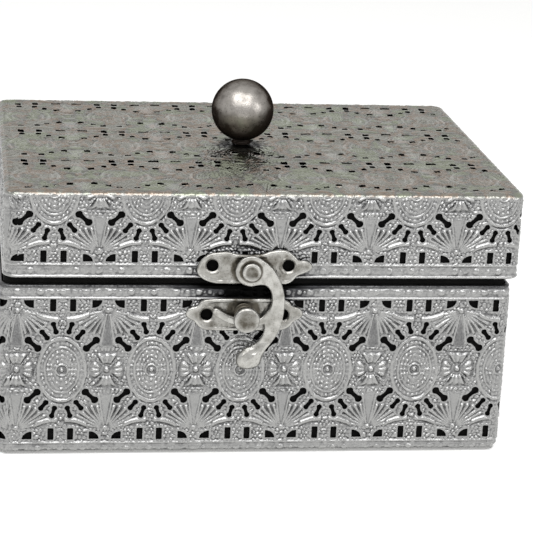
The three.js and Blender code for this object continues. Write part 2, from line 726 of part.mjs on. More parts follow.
function leaf(hingeX, upward, ownKnuckles) {
  const gap = knuckleRadius + seat + seat / 2;
  const plateNear = front + seat;
  const pitch = (hingeLength + seat) / knuckleCount;
  const left = hingeX - hingeLength / 2;
  const far = axisUp + upward * hingeDrop;
  const edge = axisUp + upward * gap;
  const pieces = [block(left, left + hingeLength, plateNear, plateNear + leafThickness,
    Math.min(edge, far), Math.max(edge, far))];
  const bores = [];
  for (const number of ownKnuckles) {
    const start = left + number * pitch;
    const end = start + pitch - seat;
    const barrel = new THREE.CylinderGeometry(knuckleRadius, knuckleRadius, end - start, smallRoundSteps);
    pieces.push(barrel.rotateZ(right).translate((start + end) / 2, axisOut, axisUp));
    pieces.push(block(start, end, plateNear, plateNear + leafThickness,
      Math.min(axisUp, edge + upward * seat), Math.max(axisUp, edge + upward * seat)));
  }
  const boreRadius = pinRadius + seat;
  const bore = new THREE.CylinderGeometry(boreRadius, boreRadius, hingeLength + overrun, smallRoundSteps);
  bores.push(bore.rotateZ(right).translate(hingeX, axisOut, axisUp));
  const screwUp = axisUp + upward * screwDrop;
  for (const x of screwPlaces(hingeX, 0)) {
    bores.push(boreOut(-x, screwUp, screwRadius + seat, front - overrun, axisOut + overrun, half));
  }
  return cut(join(pieces), bores);
}

function hingePin() {
  const reach = hingeLength / 2 + seat;
  const end = reach + pinHeadLength;
  const profile = [
    [0, -end], [pinHeadRadius - seat, -end], [pinHeadRadius, seat - end], [pinHeadRadius, -reach],
    [pinRadius, -reach], [pinRadius, reach], [pinHeadRadius, reach], [pinHeadRadius, end - seat],
    [pinHeadRadius - seat, end], [0, end],
  ];
  return turned(profile, smallRoundSteps).rotateZ(-right);
}

function screwProfile() {
  const headBack = front + seat + leafThickness + seat / 2;
  const top = headBack + screwHeadHeight;
  const tip = headBack - screwLength;
  return [
    [0, tip], [screwRadius, tip + screwRadius], [screwRadius, headBack], [screwHeadRadius, headBack],
    [screwHeadRadius - screwHeadHeight / 2, top], [0, top + screwHeadHeight / 2],
  ];
}

function buildHinges() {
  const baseKnuckles = [...Array(knuckleCount).keys()].filter((number) => number % 2 === 0);
  const lidKnuckles = [...Array(knuckleCount).keys()].filter((number) => number % 2 === 1);
  for (const [name, hingeX] of hinges) {
    addPiece(root, `hinge_${name}_base_leaf`, leaf(hingeX, -1, baseKnuckles), nickel);
    addPiece(lid, `hinge_${name}_lid_leaf`, leaf(hingeX - lidShift, 1, lidKnuckles), nickel);
    addPiece(root, `hinge_${name}_pin`, hingePin().translate(hingeX, axisOut, axisUp), steel);
    const parts = [[root, -1, 0, 1], [lid, 1, lidShift, 3]];
    for (const [group, upward, groupShift, firstNumber] of parts) {
      screwPlaces(hingeX, groupShift).forEach((x, place) => {
        const up = axisUp + upward * screwDrop;
        const body = turnedOut(screwProfile(), -x, up, smallRoundSteps, half);
        addPiece(group, `hinge_${name}_screw_${firstNumber + place}`, body, steel);
      });
    }
  }
}

buildBase();
buildLid();
buildKnob();
buildClasp();
buildHinges();

export default root;
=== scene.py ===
import math

import bmesh
import bpy
import numpy as np
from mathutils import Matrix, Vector


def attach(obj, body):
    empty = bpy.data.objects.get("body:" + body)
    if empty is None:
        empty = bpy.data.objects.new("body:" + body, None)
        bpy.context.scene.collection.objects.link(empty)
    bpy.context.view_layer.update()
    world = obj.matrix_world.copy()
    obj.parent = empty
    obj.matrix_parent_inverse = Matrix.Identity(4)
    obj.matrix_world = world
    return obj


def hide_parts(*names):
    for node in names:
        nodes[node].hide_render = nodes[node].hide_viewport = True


# A trinket box of embossed, pierced silver-coloured sheet over black boards.
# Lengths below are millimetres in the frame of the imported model: +X right, +Y back, +Z up.

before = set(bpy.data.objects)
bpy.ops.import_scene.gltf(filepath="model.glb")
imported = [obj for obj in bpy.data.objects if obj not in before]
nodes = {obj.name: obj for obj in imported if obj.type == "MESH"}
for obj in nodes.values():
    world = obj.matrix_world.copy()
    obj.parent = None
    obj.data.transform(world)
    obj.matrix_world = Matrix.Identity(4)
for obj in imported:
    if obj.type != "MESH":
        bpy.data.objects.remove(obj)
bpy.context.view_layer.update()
scene = bpy.context.scene
mm = 0.001

box = {
    "side": 89.0, "front": 66.5, "corner": 5.0,  # half width, half depth, corner radius
    "lidTop": 94.6, "lidShift": 1.9,
    "flatReach": 84.0,  # half length of the flat front and back sheets
    "pitch": 30.6,  # medallion to medallion
    "cornerBand": (1.4, 3.4, 0.6, 0.8),  # drawn tight round the corners: middle, half width, share, height
}
faceNames = ["front", "right", "back", "left"]


def meshPiece(name, points, faces, material, shades=None):
    mesh = bpy.data.meshes.new(name)
    count, corners = faces.shape
    mesh.vertices.add(len(points))
    mesh.vertices.foreach_set("co", (points * mm).astype(np.float32).ravel())
    mesh.loops.add(count * corners)
    mesh.loops.foreach_set("vertex_index", faces.astype(np.int32).ravel())
    mesh.polygons.add(count)
    mesh.polygons.foreach_set("loop_start", np.arange(0, count * corners, corners, dtype=np.int32))
    mesh.polygons.foreach_set("use_smooth", np.ones(count, dtype=bool))
    mesh.update(calc_edges=True)
    for label, values in (shades or {}).items():
        layer = mesh.attributes.new(label, "FLOAT", "POINT")
        layer.data.foreach_set("value", values.astype(np.float32))
    mesh.materials.append(material)
    piece = bpy.data.objects.new(name, mesh)
    scene.collection.objects.link(piece)
    return piece


gridFit = {
    "near": 0.52, "reach": 0.75,  # shares of a cell: points this near an edge slide, this far at most
    "probe": 0.02, "flattest": 0.3,  # mm over which a slope is felt, and the least that its square counts for
}


# A grid whose points slide onto the edges of its outline and holes; distance is positive in the metal
def snappedGrid(columns, rows, distance, heights=None):
    u, v = np.meshgrid(columns, rows)
    cell = min(columns[1] - columns[0], rows[1] - rows[0])
    d = distance(u, v)
    near = np.abs(d) < gridFit["near"] * cell
    su, sv = u[near], v[near]
    step = gridFit["probe"]
    for _ in range(2):
        here = distance(su, sv)
        slopeU = (distance(su + step, sv) - distance(su - step, sv)) / (2 * step)
        slopeV = (distance(su, sv + step) - distance(su, sv - step)) / (2 * step)
        size = np.maximum(slopeU ** 2 + slopeV ** 2, gridFit["flattest"])
        su = su - np.clip(here * slopeU / size, -cell, cell)
        sv = sv - np.clip(here * slopeV / size, -cell, cell)
    limit = gridFit["reach"] * cell
    u[near] = np.clip(su, u[near] - limit, u[near] + limit)
    v[near] = np.clip(sv, v[near] - limit, v[near] + limit)

    # each square is split along the diagonal that crosses no edge, or else along the flatter one
    side = np.sign(d)
    side[near] = 0
    side = side.ravel()
    index = np.arange(u.size).reshape(u.shape)
    a, b = index[:-1, :-1].ravel(), index[:-1, 1:].ravel()
    c, e = index[1:, 1:].ravel(), index[1:, :-1].ravel()
    turned = np.zeros(len(a), dtype=bool)
    if heights is not None:
        h = heights(u, v).ravel()
        turned = np.abs(h[a] - h[c]) > np.abs(h[b] - h[e])
    turned = np.where(side[a] * side[c] < 0, True, np.where(side[b] * side[e] < 0, False, turned))
    first = np.where(turned[:, None], np.stack([a, b, e], 1), np.stack([a, b, c], 1))
    second = np.where(turned[:, None], np.stack([b, c, e], 1), np.stack([a, c, e], 1))
    faces = np.concatenate([first, second])

    # triangles in the metal stay; one whose points are all on edges stays if its middle is in the metal
    u, v = u.ravel(), v.ravel()
    sides = side[faces]
    keep = sides.min(1) >= 0
    onEdge = keep & (sides.max(1) == 0)
    middle = faces[onEdge]
    keep[np.flatnonzero(onEdge)] = distance(u[middle].mean(1), v[middle].mean(1)) > 0
    used, faces = np.unique(faces[keep], return_inverse=True)
    return u[used], v[used], faces.reshape(-1, 3)


def edgeLoops(faces, count):  # the edges that only one triangle has
    ends = np.concatenate([faces[:, [0, 1]], faces[:, [1, 2]], faces[:, [2, 0]]]).astype(np.int64)
    keys = ends[:, 0] * count + ends[:, 1]
    back = ends[:, 1] * count + ends[:, 0]
    return ends[~np.isin(keys, back)]


# Walls go down from the free edges: their points are doubled, so the edge stays crisp
def addWalls(points, faces, edges, deeper):
    ring, local = np.unique(edges, return_inverse=True)
    local = local.reshape(-1, 2)
    top, bottom = len(points), len(points) + len(ring)
    walls = np.concatenate([
        np.stack([top + local[:, 1], top + local[:, 0], bottom + local[:, 0]], 1),
        np.stack([top + local[:, 1], bottom + local[:, 0], bottom + local[:, 1]], 1),
    ])
    return ring, np.concatenate([points, points[ring], deeper[ring]]), np.concatenate([faces, walls])


# Welds doubled points and turns every face outward
def cleanMesh(mesh):
    work = bmesh.new()
    work.from_mesh(mesh)
    bmesh.ops.remove_doubles(work, verts=work.verts, dist=1e-6)
    bmesh.ops.recalc_face_normals(work, faces=work.faces)
    work.to_mesh(mesh)
    work.free()


def finishPiece(piece, body, slot, *replaced):
    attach(piece, body)
    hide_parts(*replaced)


# Pattern: u runs across from a medallion's axis, v up from the line of medallions.
# It repeats every pitch and is the same left and right, up and down. Heights are shares of its depth.

pattern = {
    "rowRise": 23.35,  # medallion line to the rows of slots, at the scale the shapes are written in
    "depth": 1.0,  # crest to ground
    "wall": 1.5,  # crest to the back of the sheet, seen in the holes
    "noHole": 9.0,  # stands for a distance to holes that are far off
    "ground": 0.1, "grainSpacing": 1.5, "grain": (0.8, 0.7),  # radius and height of a granule
    "ovalAcross": 8.65, "ovalUp": 12.25, "dome": (0.12, 0.2),  # height at the oval's edge, rise to its middle
    "rings": [  # share of the oval, half width, height, bead spacing
        (0.92, 0.95, 0.85, 0), (0.79, 0.5, 0.6, 1.7), (0.67, 0.6, 0.75, 0), (0.55, 0.5, 0.6, 1.7),
        (0.42, 0.5, 0.6, 1.6), (0.29, 0.5, 0.5, 1.5),
    ],
    "bead": 0.68, "beadLine": 0.22,  # radius of a bead, and the share of its height that its line has
    "bossWell": (2.5, 0.2), "bossRing": (2.0, 0.55, 0.85), "boss": (1.05, 1.0),  # radius, half width, height
    "petals": [(36, 24, 6.6), (42, 24, 6.2)],  # upright, level: half spread, rib spacing (degrees), length
    "flowerEye": 1.7, "flowerBead": (1.25, 1.0),
    "fanFoot": 21.3, "fanReach": (10.5, 86), "fanGround": 0.2, "fanBead": (1.25, 0.95), "fanClear": 1.2,
    "ribAngles": [22, 34, 46, 57.5, 69, 80], "ribEnds": [9.0, 9.8, 10.6, 11.0, 11.2, 11.2],
    "ribTwist": (0.6, 5), "ribWidth": (0.3, 0.068),  # degrees per mm and from where; half width, its growth
    "leaf": (0.45, 0.17, 1.5, 13),  # half width, its growth per mm and from where, end
    "leafHeight": (0.3, 0.25), "leafRim": (0.5, 0.9),
    "wing": (18.2, 1.9, 2.2, 6.8),  # rise, lift toward its outer end, from where and over how much
    "wingEnds": (0.7, 9.4),
    "wingWidth": (1.3, 2.1),  # half width of the bar, and of the trough that it lies in
}


def ridge(distance, halfWidth, height):
    return height * np.clip(1 - (distance / halfWidth) ** 2, 0, 1)


def capsule(a, b, startA, startB, endA, endB):
    alongA, alongB = endA - startA, endB - startB
    share = ((a - startA) * alongA + (b - startB) * alongB) / (alongA ** 2 + alongB ** 2)
    share = np.clip(share, 0, 1)
    return np.hypot(a - startA - share * alongA, b - startB - share * alongB), share


def rectangleDistance(a, b, middleA, middleB, halfA, halfB, radius):
    qa, qb = np.abs(a - middleA) - halfA + radius, np.abs(b - middleB) - halfB + radius
    return np.hypot(np.maximum(qa, 0), np.maximum(qb, 0)) + np.minimum(np.maximum(qa, qb), 0) - radius


def boneDistance(a, b, middleA, middleB, angle, length, lobe, waist):
    reach = (length - 2 * lobe) / 2
    da, db = reach * math.cos(angle), reach * math.sin(angle)
    line, share = capsule(a, b, middleA - da, middleB - db, middleA + da, middleB + db)
    width = waist + (lobe - waist) * np.clip(np.abs(2 * share - 1) * 1.5 - 0.4, 0, 1) ** 2
    return line - width


# Holes, in the folded pattern: nearest and farthest reach from the axis, and the distance outside the shape,
# from its middle, half sizes or angle and length, and radii
holes = {
    "slot": (2.3, 4.4, lambda a, b: rectangleDistance(a, b, 3.35, 23.35, 1.05, 2.15, 0.3)),
    "cornerHole": (9.8, 13.2, lambda a, b: np.maximum(np.maximum(9.8 - a, b - 25.2), 2.9 * (
        np.hypot((a - 9.8) / 3.4, (b - 25.2) / 2.8) - 1))),
    "bone": (6.8, 12.9, lambda a, b: boneDistance(a, b, 9.85, 9.39, math.radians(42), 6.9, 1.35, 0.75)),
    "innerBone": (0.9, 4.3, lambda a, b: boneDistance(a, b, 2.65, 15.2, math.radians(72), 4.8, 0.98, 0.62)),
    "diagonal": (4.3, 7.7, lambda a, b: boneDistance(a, b, 6.0, 12.75, math.radians(51), 4.6, 0.98, 0.7)),
}

# On the lid's top the sheet is rubbed down: a hole is open at one end and a bright bump at its other
topHoles = {
    "slot": (2.3, 4.4, lambda a, b: rectangleDistance(a, b, 3.35, 21.1, 1.15, 1.9, 0.4)),
    "cornerHole": (9.8, 13.2, lambda a, b: rectangleDistance(a, b, 11.3, 21.8, 1.9, 1.1, 0.4)),
    "bone": (6.8, 12.9, lambda a, b: rectangleDistance(a, b, 11.2, 10.6, 1.15, 1.3, 0.5)),
    "innerBone": (0.9, 4.3, lambda a, b: rectangleDistance(a, b, 3.0, 16.2, 1.05, 1.4, 0.5)),
    "diagonal": (4.3, 7.7, lambda a, b: rectangleDistance(a, b, 6.6, 13.3, 0.95, 1.1, 0.5)),
}
topBumps = [(8.3, 8.0), (2.2, 13.6), (5.1, 11.6), (11.4, 13.4)]


def ovalBeads(angle, quarter):
    table = np.linspace(0, math.pi / 2, 181)
    speed = np.hypot(pattern["ovalAcross"] * np.sin(table), pattern["ovalUp"] * np.cos(table))
    run = np.concatenate([[0], np.cumsum((speed[1:] + speed[:-1]) / 2 * np.diff(table))])
    return np.interp(angle, table, run) * quarter, run[-1] * quarter


# Uneven patches between 0 and 1, about this many millimetres across, the same on every run
def blotches(x, y, size, seed):
    gx, gy = x / size, y / size
    ix, iy = np.floor(gx), np.floor(gy)
    fx, fy = gx - ix, gy - iy
    fx, fy = fx * fx * (3 - 2 * fx), fy * fy * (3 - 2 * fy)

    def corner(dx, dy):
        value = np.sin((ix + dx) * 127.1 + (iy + dy) * 311.7 + seed * 74.7) * 43758.5453
        return value - np.floor(value)

    low = corner(0, 0) * (1 - fx) + corner(1, 0) * fx
    high = corner(0, 1) * (1 - fx) + corner(1, 1) * fx
    return low * (1 - fy) + high * fy


def eased(value, low, high):
    t = np.clip((value - low) / (high - low), 0, 1)
    return t * t * (3 - 2 * t)


def leafInside(p, inward):  # distance inside the long drop-shaped leaf of a fan, from its foot on
    halfWidth, growth, start, end = pattern["leaf"]
    return np.minimum(halfWidth + growth * (inward - start) - p, end - inward)


def leafShade(u, v, scale):  # patina stays in the smooth leaves, most in the upper ones
    pitch = box["pitch"]
    p = pitch / 2 - np.abs(u - pitch * np.round(u / pitch))
    inward = pattern["fanFoot"] - np.abs(v) * scale
    return eased(leafInside(p, inward), 0, 0.8) * (inward > 2.5) * np.where(v > 0, 0.55, 0.25)


# The shapes of the relief, each laid over the height so far. In them a and b are the distances from a
# medallion's middle, p and inward those from a fan's foot, and run and up the place for the uneven pressing.
# All of it lies a little out of line, by the shifts.

# Granules on the plain ground
def grainHeights(a, b, shiftA, shiftB, run, up):
    space = pattern["grainSpacing"]
    tall = space * math.sqrt(3)
    nearest = np.full(a.shape, pattern["noHole"])
    for offA, offB in [(0, 0), (space / 2, tall / 2)]:
        ga, gb = a + offA + 1.1 * shiftA, b + offB + 1.1 * shiftB
        ga, gb = ga - space * np.round(ga / space), gb - tall * np.round(gb / tall)
        nearest = np.minimum(nearest, np.hypot(ga, gb))
    return pattern["ground"] + ridge(nearest, *pattern["grain"]) * (0.35 + 0.9 * blotches(run, up, 1.4, 3))


# A low dome of beaded rings inside a plain outer ring
def medallionHeights(height, a, b, shiftA, shiftB, run, up):
    across, upward = pattern["ovalAcross"], pattern["ovalUp"]
    rho = np.hypot(a / across, b / upward)
    reach = np.hypot(a, b) / np.maximum(rho, 0.02)
    angle = np.arctan2(b / upward, a / across)
    inside = rho < 1.02
    foot, rise = pattern["dome"]
    height = np.where(inside, foot + rise * np.clip(1 - rho ** 2, 0, 1), height)
    for share, halfWidth, crest, spacing in pattern["rings"]:
        off = np.abs((rho - share) * reach + 0.3 * shiftB)
        if spacing:
            along, quarter = ovalBeads(angle, share)
            spacing = quarter / max(round(quarter / spacing), 1)
            along = along + 0.35 * shiftA
            along = along - spacing * np.round(along / spacing)
            pressed = 0.3 + 1.1 * blotches(run, up, 1.1, 4)
            bead = ridge(np.hypot(off, along), pattern["bead"], crest) * pressed
            bead = np.maximum(bead, ridge(off, halfWidth, pattern["beadLine"] * crest))
            height = np.where(inside, height + bead, height)
        else:
            pressed = 0.5 + 0.6 * blotches(run, up, 1.9, 9)
            height = np.maximum(height, ridge(off, halfWidth, crest) * pressed)
    core = np.hypot(a, b)
    wellRadius, wellHeight = pattern["bossWell"]
    height = np.where(core < wellRadius, np.minimum(height, wellHeight), height)
    ringAt, halfWidth, crest = pattern["bossRing"]
    height = np.maximum(height, ridge(core - ringAt, halfWidth, crest))
    return np.maximum(height, ridge(core, *pattern["boss"]))


# Half-way between the medallions: four ribbed petals, humped along, round a bead
def flowerHeights(height, p, b):
    radius, turn = np.hypot(p, b), np.degrees(np.arctan2(p, b))
    ground, eye = pattern["ground"], pattern["flowerEye"]
    for (spread, ribs, end), lean, along in zip(pattern["petals"], [turn, np.abs(90 - turn)], [b, radius]):
        flank = eased(spread - lean, 0, 9)
        lobes = 0.5 - 0.5 * np.cos(np.radians(lean * 360 / ribs))
        hump = eased(radius, eye, 3.3) * eased(end - 0.35 * lobes - along, 0, 1.7)
        ribbed = 1 - 0.45 * lobes * eased(end - 0.2 - along, 0, 1.6)
        height = np.where((lean < spread) & (along < end), np.maximum(ground, hump * flank * ribbed), height)
    height = np.where(radius < eye, ground, height)
    return np.maximum(height, ridge(radius, *pattern["flowerBead"]))


# A fan with its foot at the border, and a long smooth leaf down its middle
def fanHeights(height, p, inward):
    radius, fan = np.hypot(p, inward), np.degrees(np.arctan2(p, inward))
    reach, spread = pattern["fanReach"]
    height = np.where((radius < reach) & (fan < spread), pattern["fanGround"], height)
    twist, twistFrom = pattern["ribTwist"]
    halfWidth, growth = pattern["ribWidth"]
    clear = pattern["fanClear"]
    for rib, end in zip(pattern["ribAngles"], pattern["ribEnds"]):
        turn = np.radians(fan - rib + twist * (radius - twistFrom))
        aside, along = radius * np.sin(turn), radius * np.cos(turn)
        width = halfWidth + growth * np.clip(along, 0, end)
        crest = np.interp(along, [1.4, 2.6, end - 0.6, end + 0.5], [0.1, 0.7, 0.95, 0])
        onRib = (along > clear) & (along < end + 0.5)
        height = np.maximum(height, np.where(onRib, ridge(aside, width, crest), 0))
    foot, rise = pattern["leafHeight"]
    leafEdge = leafInside(p, inward)
    height = np.where((inward > clear) & (leafEdge > 0), foot + rise * eased(leafEdge, 0, 0.9), height)
    onRim = (inward > clear) & (inward < 12.3)
    height = np.maximum(height, np.where(onRim, ridge(leafEdge + 0.15, *pattern["leafRim"]), 0))
    return np.maximum(height, ridge(radius, *pattern["fanBead"]))


# Smooth bars that run from the fans toward the medallion's axis
def wingHeights(height, a, b):
    rise, lift, start, length = pattern["wing"]
    near, far = pattern["wingEnds"]
    bar, trough = pattern["wingWidth"]
    off = b - (rise + lift * np.clip((a - start) / length, 0, 1) ** 2)
    reachOut = eased(a, near, 1.6) * eased(far - a, 0, 0.8)
    crest = ridge(off, bar, 1.0) * reachOut
    return np.maximum(height * (1 - 0.8 * ridge(off, trough, 1.0) * reachOut), crest), crest


def relief(u, v, scale, holeEdge, run, up):
    pitch = box["pitch"]
    u = u - pitch * np.round(u / pitch)
    a, b = np.abs(u), np.abs(v) * scale
    p, inward = pitch / 2 - a, pattern["fanFoot"] - b
    shiftA, shiftB = blotches(run, up, 1.9, 1) - 0.5, blotches(run, up, 1.9, 2) - 0.5
    height = grainHeights(a, b, shiftA, shiftB, run, up)
    height = medallionHeights(height, a, b, shiftA, shiftB, run, up)
    height = flowerHeights(height, p, b)
    height = fanHeights(height, p, inward)
    height, bar = wingHeights(height, a, b)

    # pressing is uneven, least on the bars, and the metal turns in at every hole
    uneven = 0.2 * (blotches(run, up, 1.0, 5) - 0.5) + 0.22 * (blotches(run, up, 7.0, 6) - 0.5)
    height = height + (1 - bar) * uneven
    land = eased(0.9 - holeEdge, 0, 0.5)
    height = height * (1 - 0.6 * land) + 0.35 * land
    return np.clip(height, 0, 1)


# Distance to the nearest hole; allowed says where a kind of hole may be open, from both ends of its reach
def holeDistance(u, v, scale, shapes=holes, allowed=None):
    pitch = box["pitch"]
    copy = np.round(u / pitch)
    folded = u - pitch * copy
    a, b = np.abs(folded), np.abs(v) * scale
    sign = np.where(folded < 0, -1, 1)
    result = np.full(u.shape, pattern["noHole"])
    for kind, (nearReach, farReach, shape) in shapes.items():
        here = np.minimum(result, shape(a, b))
        if allowed:
            isOpen = allowed(kind, copy * pitch + sign * nearReach, copy * pitch + sign * farReach, v)
            here = np.where(isOpen, here, result)
        result = here
    return result


# The sheets. Bends: where the lower one starts and its radius, the same for the upper one, and whether the
# sheet then folds inward.
baseSheet = {
    "motifUp": 31.3, "rowRise": 23.35, "phase": -5.3, "shift": 0.0,
    "bends": (3.3, 3.0, 59.8, 2.2, False), "hems": (0.0, 1.4),  # plain metal past each bend
    "lines": [4.7, 57.2], "beadRows": [2.3, 59.4],  # raised lines along the borders, beads beyond them
    "lips": [(0.9, -1, 0.6), (60.9, 1, 0.6)],  # where the metal is smooth from, which way, and over how much
}
lidSheet = {
    "motifUp": 94.2, "rowRise": 22.25, "phase": -10.8, "shift": -1.9,
    "bends": (65.3, 1.0, 92.4, 2.2, True), "hems": (0.5, 1.9),
    "lines": [69.1], "beadRows": [66.9],
    "lips": [(65.6, -1, 0.5)],
    "bendFlat": (92.4, 93.4, 0.75, 0.9),  # pressed flat over the bend: from, to, share and height
    "topFrom": (94.0, 95.2, 96.0),  # the top's pattern starts, shows, is full
}
topSheet = {
    "rows": [38.0, -4.0], "rowRise": 21.0, "phase": -16.5, "inset": 4.1,
    "ground": 0.38, "worn": 0.6, "relief": 0.8, "lumps": 0.35,  # heights and shares of the rubbed pattern
    "bumpRadius": 1.0, "burr": (0.5, 0.45),  # burr: height and width
    "endMargin": 5.1, "sideMargin": 6.6, "boneMargin": 5.4,  # from the box's sides to the first holes
    "knobX": -1.2, "shankHole": 2.3, "knobLand": 4.6, "knobClear": 6.5,  # the knob's axis, radii round it
}
claspPins = {"radius": 2.3, "lid": [(-18.5, 69.3), (7.5, 69.3)], "base": [(-17.9, 51.8), (8.1, 51.8)]}
# Patina in the hollows, and painted shade where the lid, clasp and knob shade the sheet
patinaAndPaintedShade = {
    "hollow": (0.55, 0.85, 0.5, 1.2),  # mm felt round a point, bare from this height, shares of low and sunk
    "rim": (60.4, 61.4, 0.75),  # painted shade on the base's rim, under the lid: from, to, shade
    "claspShadow": (-2.0, 58.6, 14.0, 3.6, 1.3),  # painted shadow below the clasp, on the base: middle, half sizes, shade
    "halo": (-4.0, 62.0, 30.0, 19.0),  # and, thinner, a darkening round the clasp: middle and half sizes
    "knob": (8.0, 6.0, 1.5),  # painted shade round the knob's foot, streaked outward: radius, streaks, shade
}


def topLine(y):  # up from the nearest line of medallions on the lid's top
    first, second = topSheet["rows"]
    v = y - second
    return v - (first - second) * np.round(v / (first - second))


def topHeights(x, y, rim):
    look = topSheet
    scale = pattern["rowRise"] / look["rowRise"]
    u, v = x - look["phase"], topLine(y)
    h = relief(u, v, scale, pattern["noHole"], x, y)
    lumps = look["lumps"] * blotches(x, y, 1.5, 16) * blotches(x, y, 5.0, 17)
    h = look["ground"] + look["worn"] * h * look["relief"] + lumps
    a, b = np.abs(u - box["pitch"] * np.round(u / box["pitch"])), np.abs(v) * scale
    for bumpA, bumpB in topBumps:
        bump = ridge(np.hypot(a - bumpA, b - bumpB), look["bumpRadius"], 2.0 * blotches(x, y, 6.0, 18) - 0.4)
        h = np.maximum(h, bump)
    tall, wide = look["burr"]  # turned up a little round each hole
    burr = (tall * blotches(x, y, 4.0, 19)) * np.clip(1 - rim / wide, 0, 1)
    return np.clip(h + burr, 0, 1)


def facePhase(phase, number):
    run = box["side"] + box["front"] - 2 * box["corner"] + box["corner"] * math.pi / 2
    shifted = phase - number * run
    return shifted - box["pitch"] * round(shifted / box["pitch"])


# Plan of a wall: run along the face to the outer point and its outward direction, seen from its own side
def wallPlan(run, number):
    corner = box["corner"]
    if number % 2 == 0:
        x, y = run, np.full(run.shape, -box["front"])
        outX, outY = np.zeros(run.shape), np.full(run.shape, -1.0)
    else:  # an end wraps the corners; here it faces -Y and is turned below
        flat = box["front"] - corner
        over = np.clip((np.abs(run) - flat) / corner, 0, math.pi / 2)
        outX, outY = np.sign(run) * np.sin(over), -np.cos(over)
        x = np.sign(run) * np.minimum(np.abs(run), flat) + corner * outX
        y = -(box["side"] - corner) + corner * outY
    turn = number * math.pi / 2
    cos, sin = round(math.cos(turn)), round(math.sin(turn))
    return x * cos - y * sin, x * sin + y * cos, outX * cos - outY * sin, outX * sin + outY * cos


# Section of a wall: the way up along the sheet to its inset and height, and the outward direction
def wallSection(up, low, lowRadius, high, highRadius, fold):
    inset, z = np.zeros(up.shape), up.copy()
    out, rise = np.ones(up.shape), np.zeros(up.shape)
    turn = np.clip((low - up) / lowRadius, 0, math.pi / 2)
    below = up < low
    inset = np.where(below, lowRadius * (1 - np.cos(turn)), inset)
    z = np.where(below, low - lowRadius * np.sin(turn), z)
    out, rise = np.where(below, np.cos(turn), out), np.where(below, -np.sin(turn), rise)
    extra = low - up - lowRadius * math.pi / 2
    inset = np.where(extra > 0, inset + extra, inset)
    turn = np.clip((up - high) / highRadius, 0, math.pi / 2)
    above = up > high
    inset = np.where(above, highRadius * (1 - np.cos(turn)), inset)
    z = np.where(above, high + highRadius * np.sin(turn), z)
    out, rise = np.where(above, np.cos(turn), out), np.where(above, np.sin(turn), rise)
    extra = up - high - highRadius * math.pi / 2
    if fold:
        inset = np.where(extra > 0, inset + extra, inset)
    else:
        z = np.where(extra > 0, z - extra, z)
    return inset, z, out, rise


# Patina gathers where a point lies lower than what is round it
def hollowShade(heights, h, u, v):
    reach, bare, low, sunk = patinaAndPaintedShade["hollow"]
    ways = [(0.9, 0.5), (-0.5, 0.9), (-0.9, -0.5), (0.5, -0.9)]
    around = sum(heights(u + reach * a, v + reach * b) for a, b in ways)
    return np.clip(low * (bare - h) + sunk * (around / 4 - h), 0, 1)


# The folded border of the lid: flat over the bend, then it goes on with the pattern of the top
def foldedHeights(h, number, run, up):
    start, end, share, level = lidSheet["bendFlat"]
    fold = eased(up, start, end)
    h = h * (1 - share * fold) + share * level * fold
    x, y, outX, outY = wallPlan(run, number)
    inset = wallSection(up, *lidSheet["bends"])[0]
    start, shows, full = lidSheet["topFrom"]
    onTop = up > start
    x, y = np.where(onTop, x - outX * inset, 0), np.where(onTop, y - outY * inset, 0)
    onTop = eased(up, shows, full)
    return h * (1 - onTop) + onTop * topHeights(x, y, pattern["noHole"])


# The borders: rows of beads on plain metal, a raised line inside them, and smooth outer edges
def borderHeights(h, look, u, run, up):
    quarter = box["pitch"] / 4
    beads = [  # spacing, radius, height, shift
        (quarter, 1.5, 0.7, 0.0), (quarter, 1.1, 0.5, quarter / 2), (quarter / 2, 0.7, 0.35, quarter / 4),
    ]
    plain = 0.32 + 0.4 * (blotches(run, up, 1.3, 7) - 0.5)
    worn = 0.5 + 0.7 * blotches(run, up, 4.0, 8)
    for centre in look["beadRows"]:
        for spacing, radius, height, shift in beads:
            along = u - shift
            along = along - spacing * np.round(along / spacing)
            plain = np.maximum(plain, 0.2 + worn * ridge(np.hypot(along, up - centre), radius, height))
    border = up < look["lines"][0]
    for line in look["lines"][1:]:
        border = border | (up > line)
    h = np.where(border, plain, h)
    lineHeight = 0.72 + 0.28 * blotches(run, up, 5.0, 13)
    for line in look["lines"]:
        h = np.maximum(h, ridge(up - line, 0.6, lineHeight))
    for start, way, over in look["lips"]:
        h = np.maximum(h, np.clip(way * (up - start) / over, 0, 1))
    return h


# Painted shade on the walls: on the base's rim under the lid and below the clasp, and a thinner darkening
# round the clasp
def wallPaintedShade(hollow, isLid, number, run, up):
    if not isLid:
        start, end, shade = patinaAndPaintedShade["rim"]
        hollow = np.maximum(hollow, shade * eased(up, start, end))
    if number == 0:
        x, z, across, upward, shade = patinaAndPaintedShade["claspShadow"]
        # painted shadow of the clasp on the base
        if not isLid:
            claspShadow = eased(across - np.abs(run - x), 0, 12.0) * eased(upward - np.abs(up - z), 0, 1.6)
            hollow = hollow + shade * claspShadow
        x, z, across, upward = patinaAndPaintedShade["halo"]
        shift = lidSheet["shift"] if isLid else baseSheet["shift"]
        halo = eased(1 - np.hypot((run - x - shift) / across, (up - z) / upward), 0, 0.7)
        hollow = hollow * (1 + 1.2 * halo) + 0.4 * halo
    return hollow


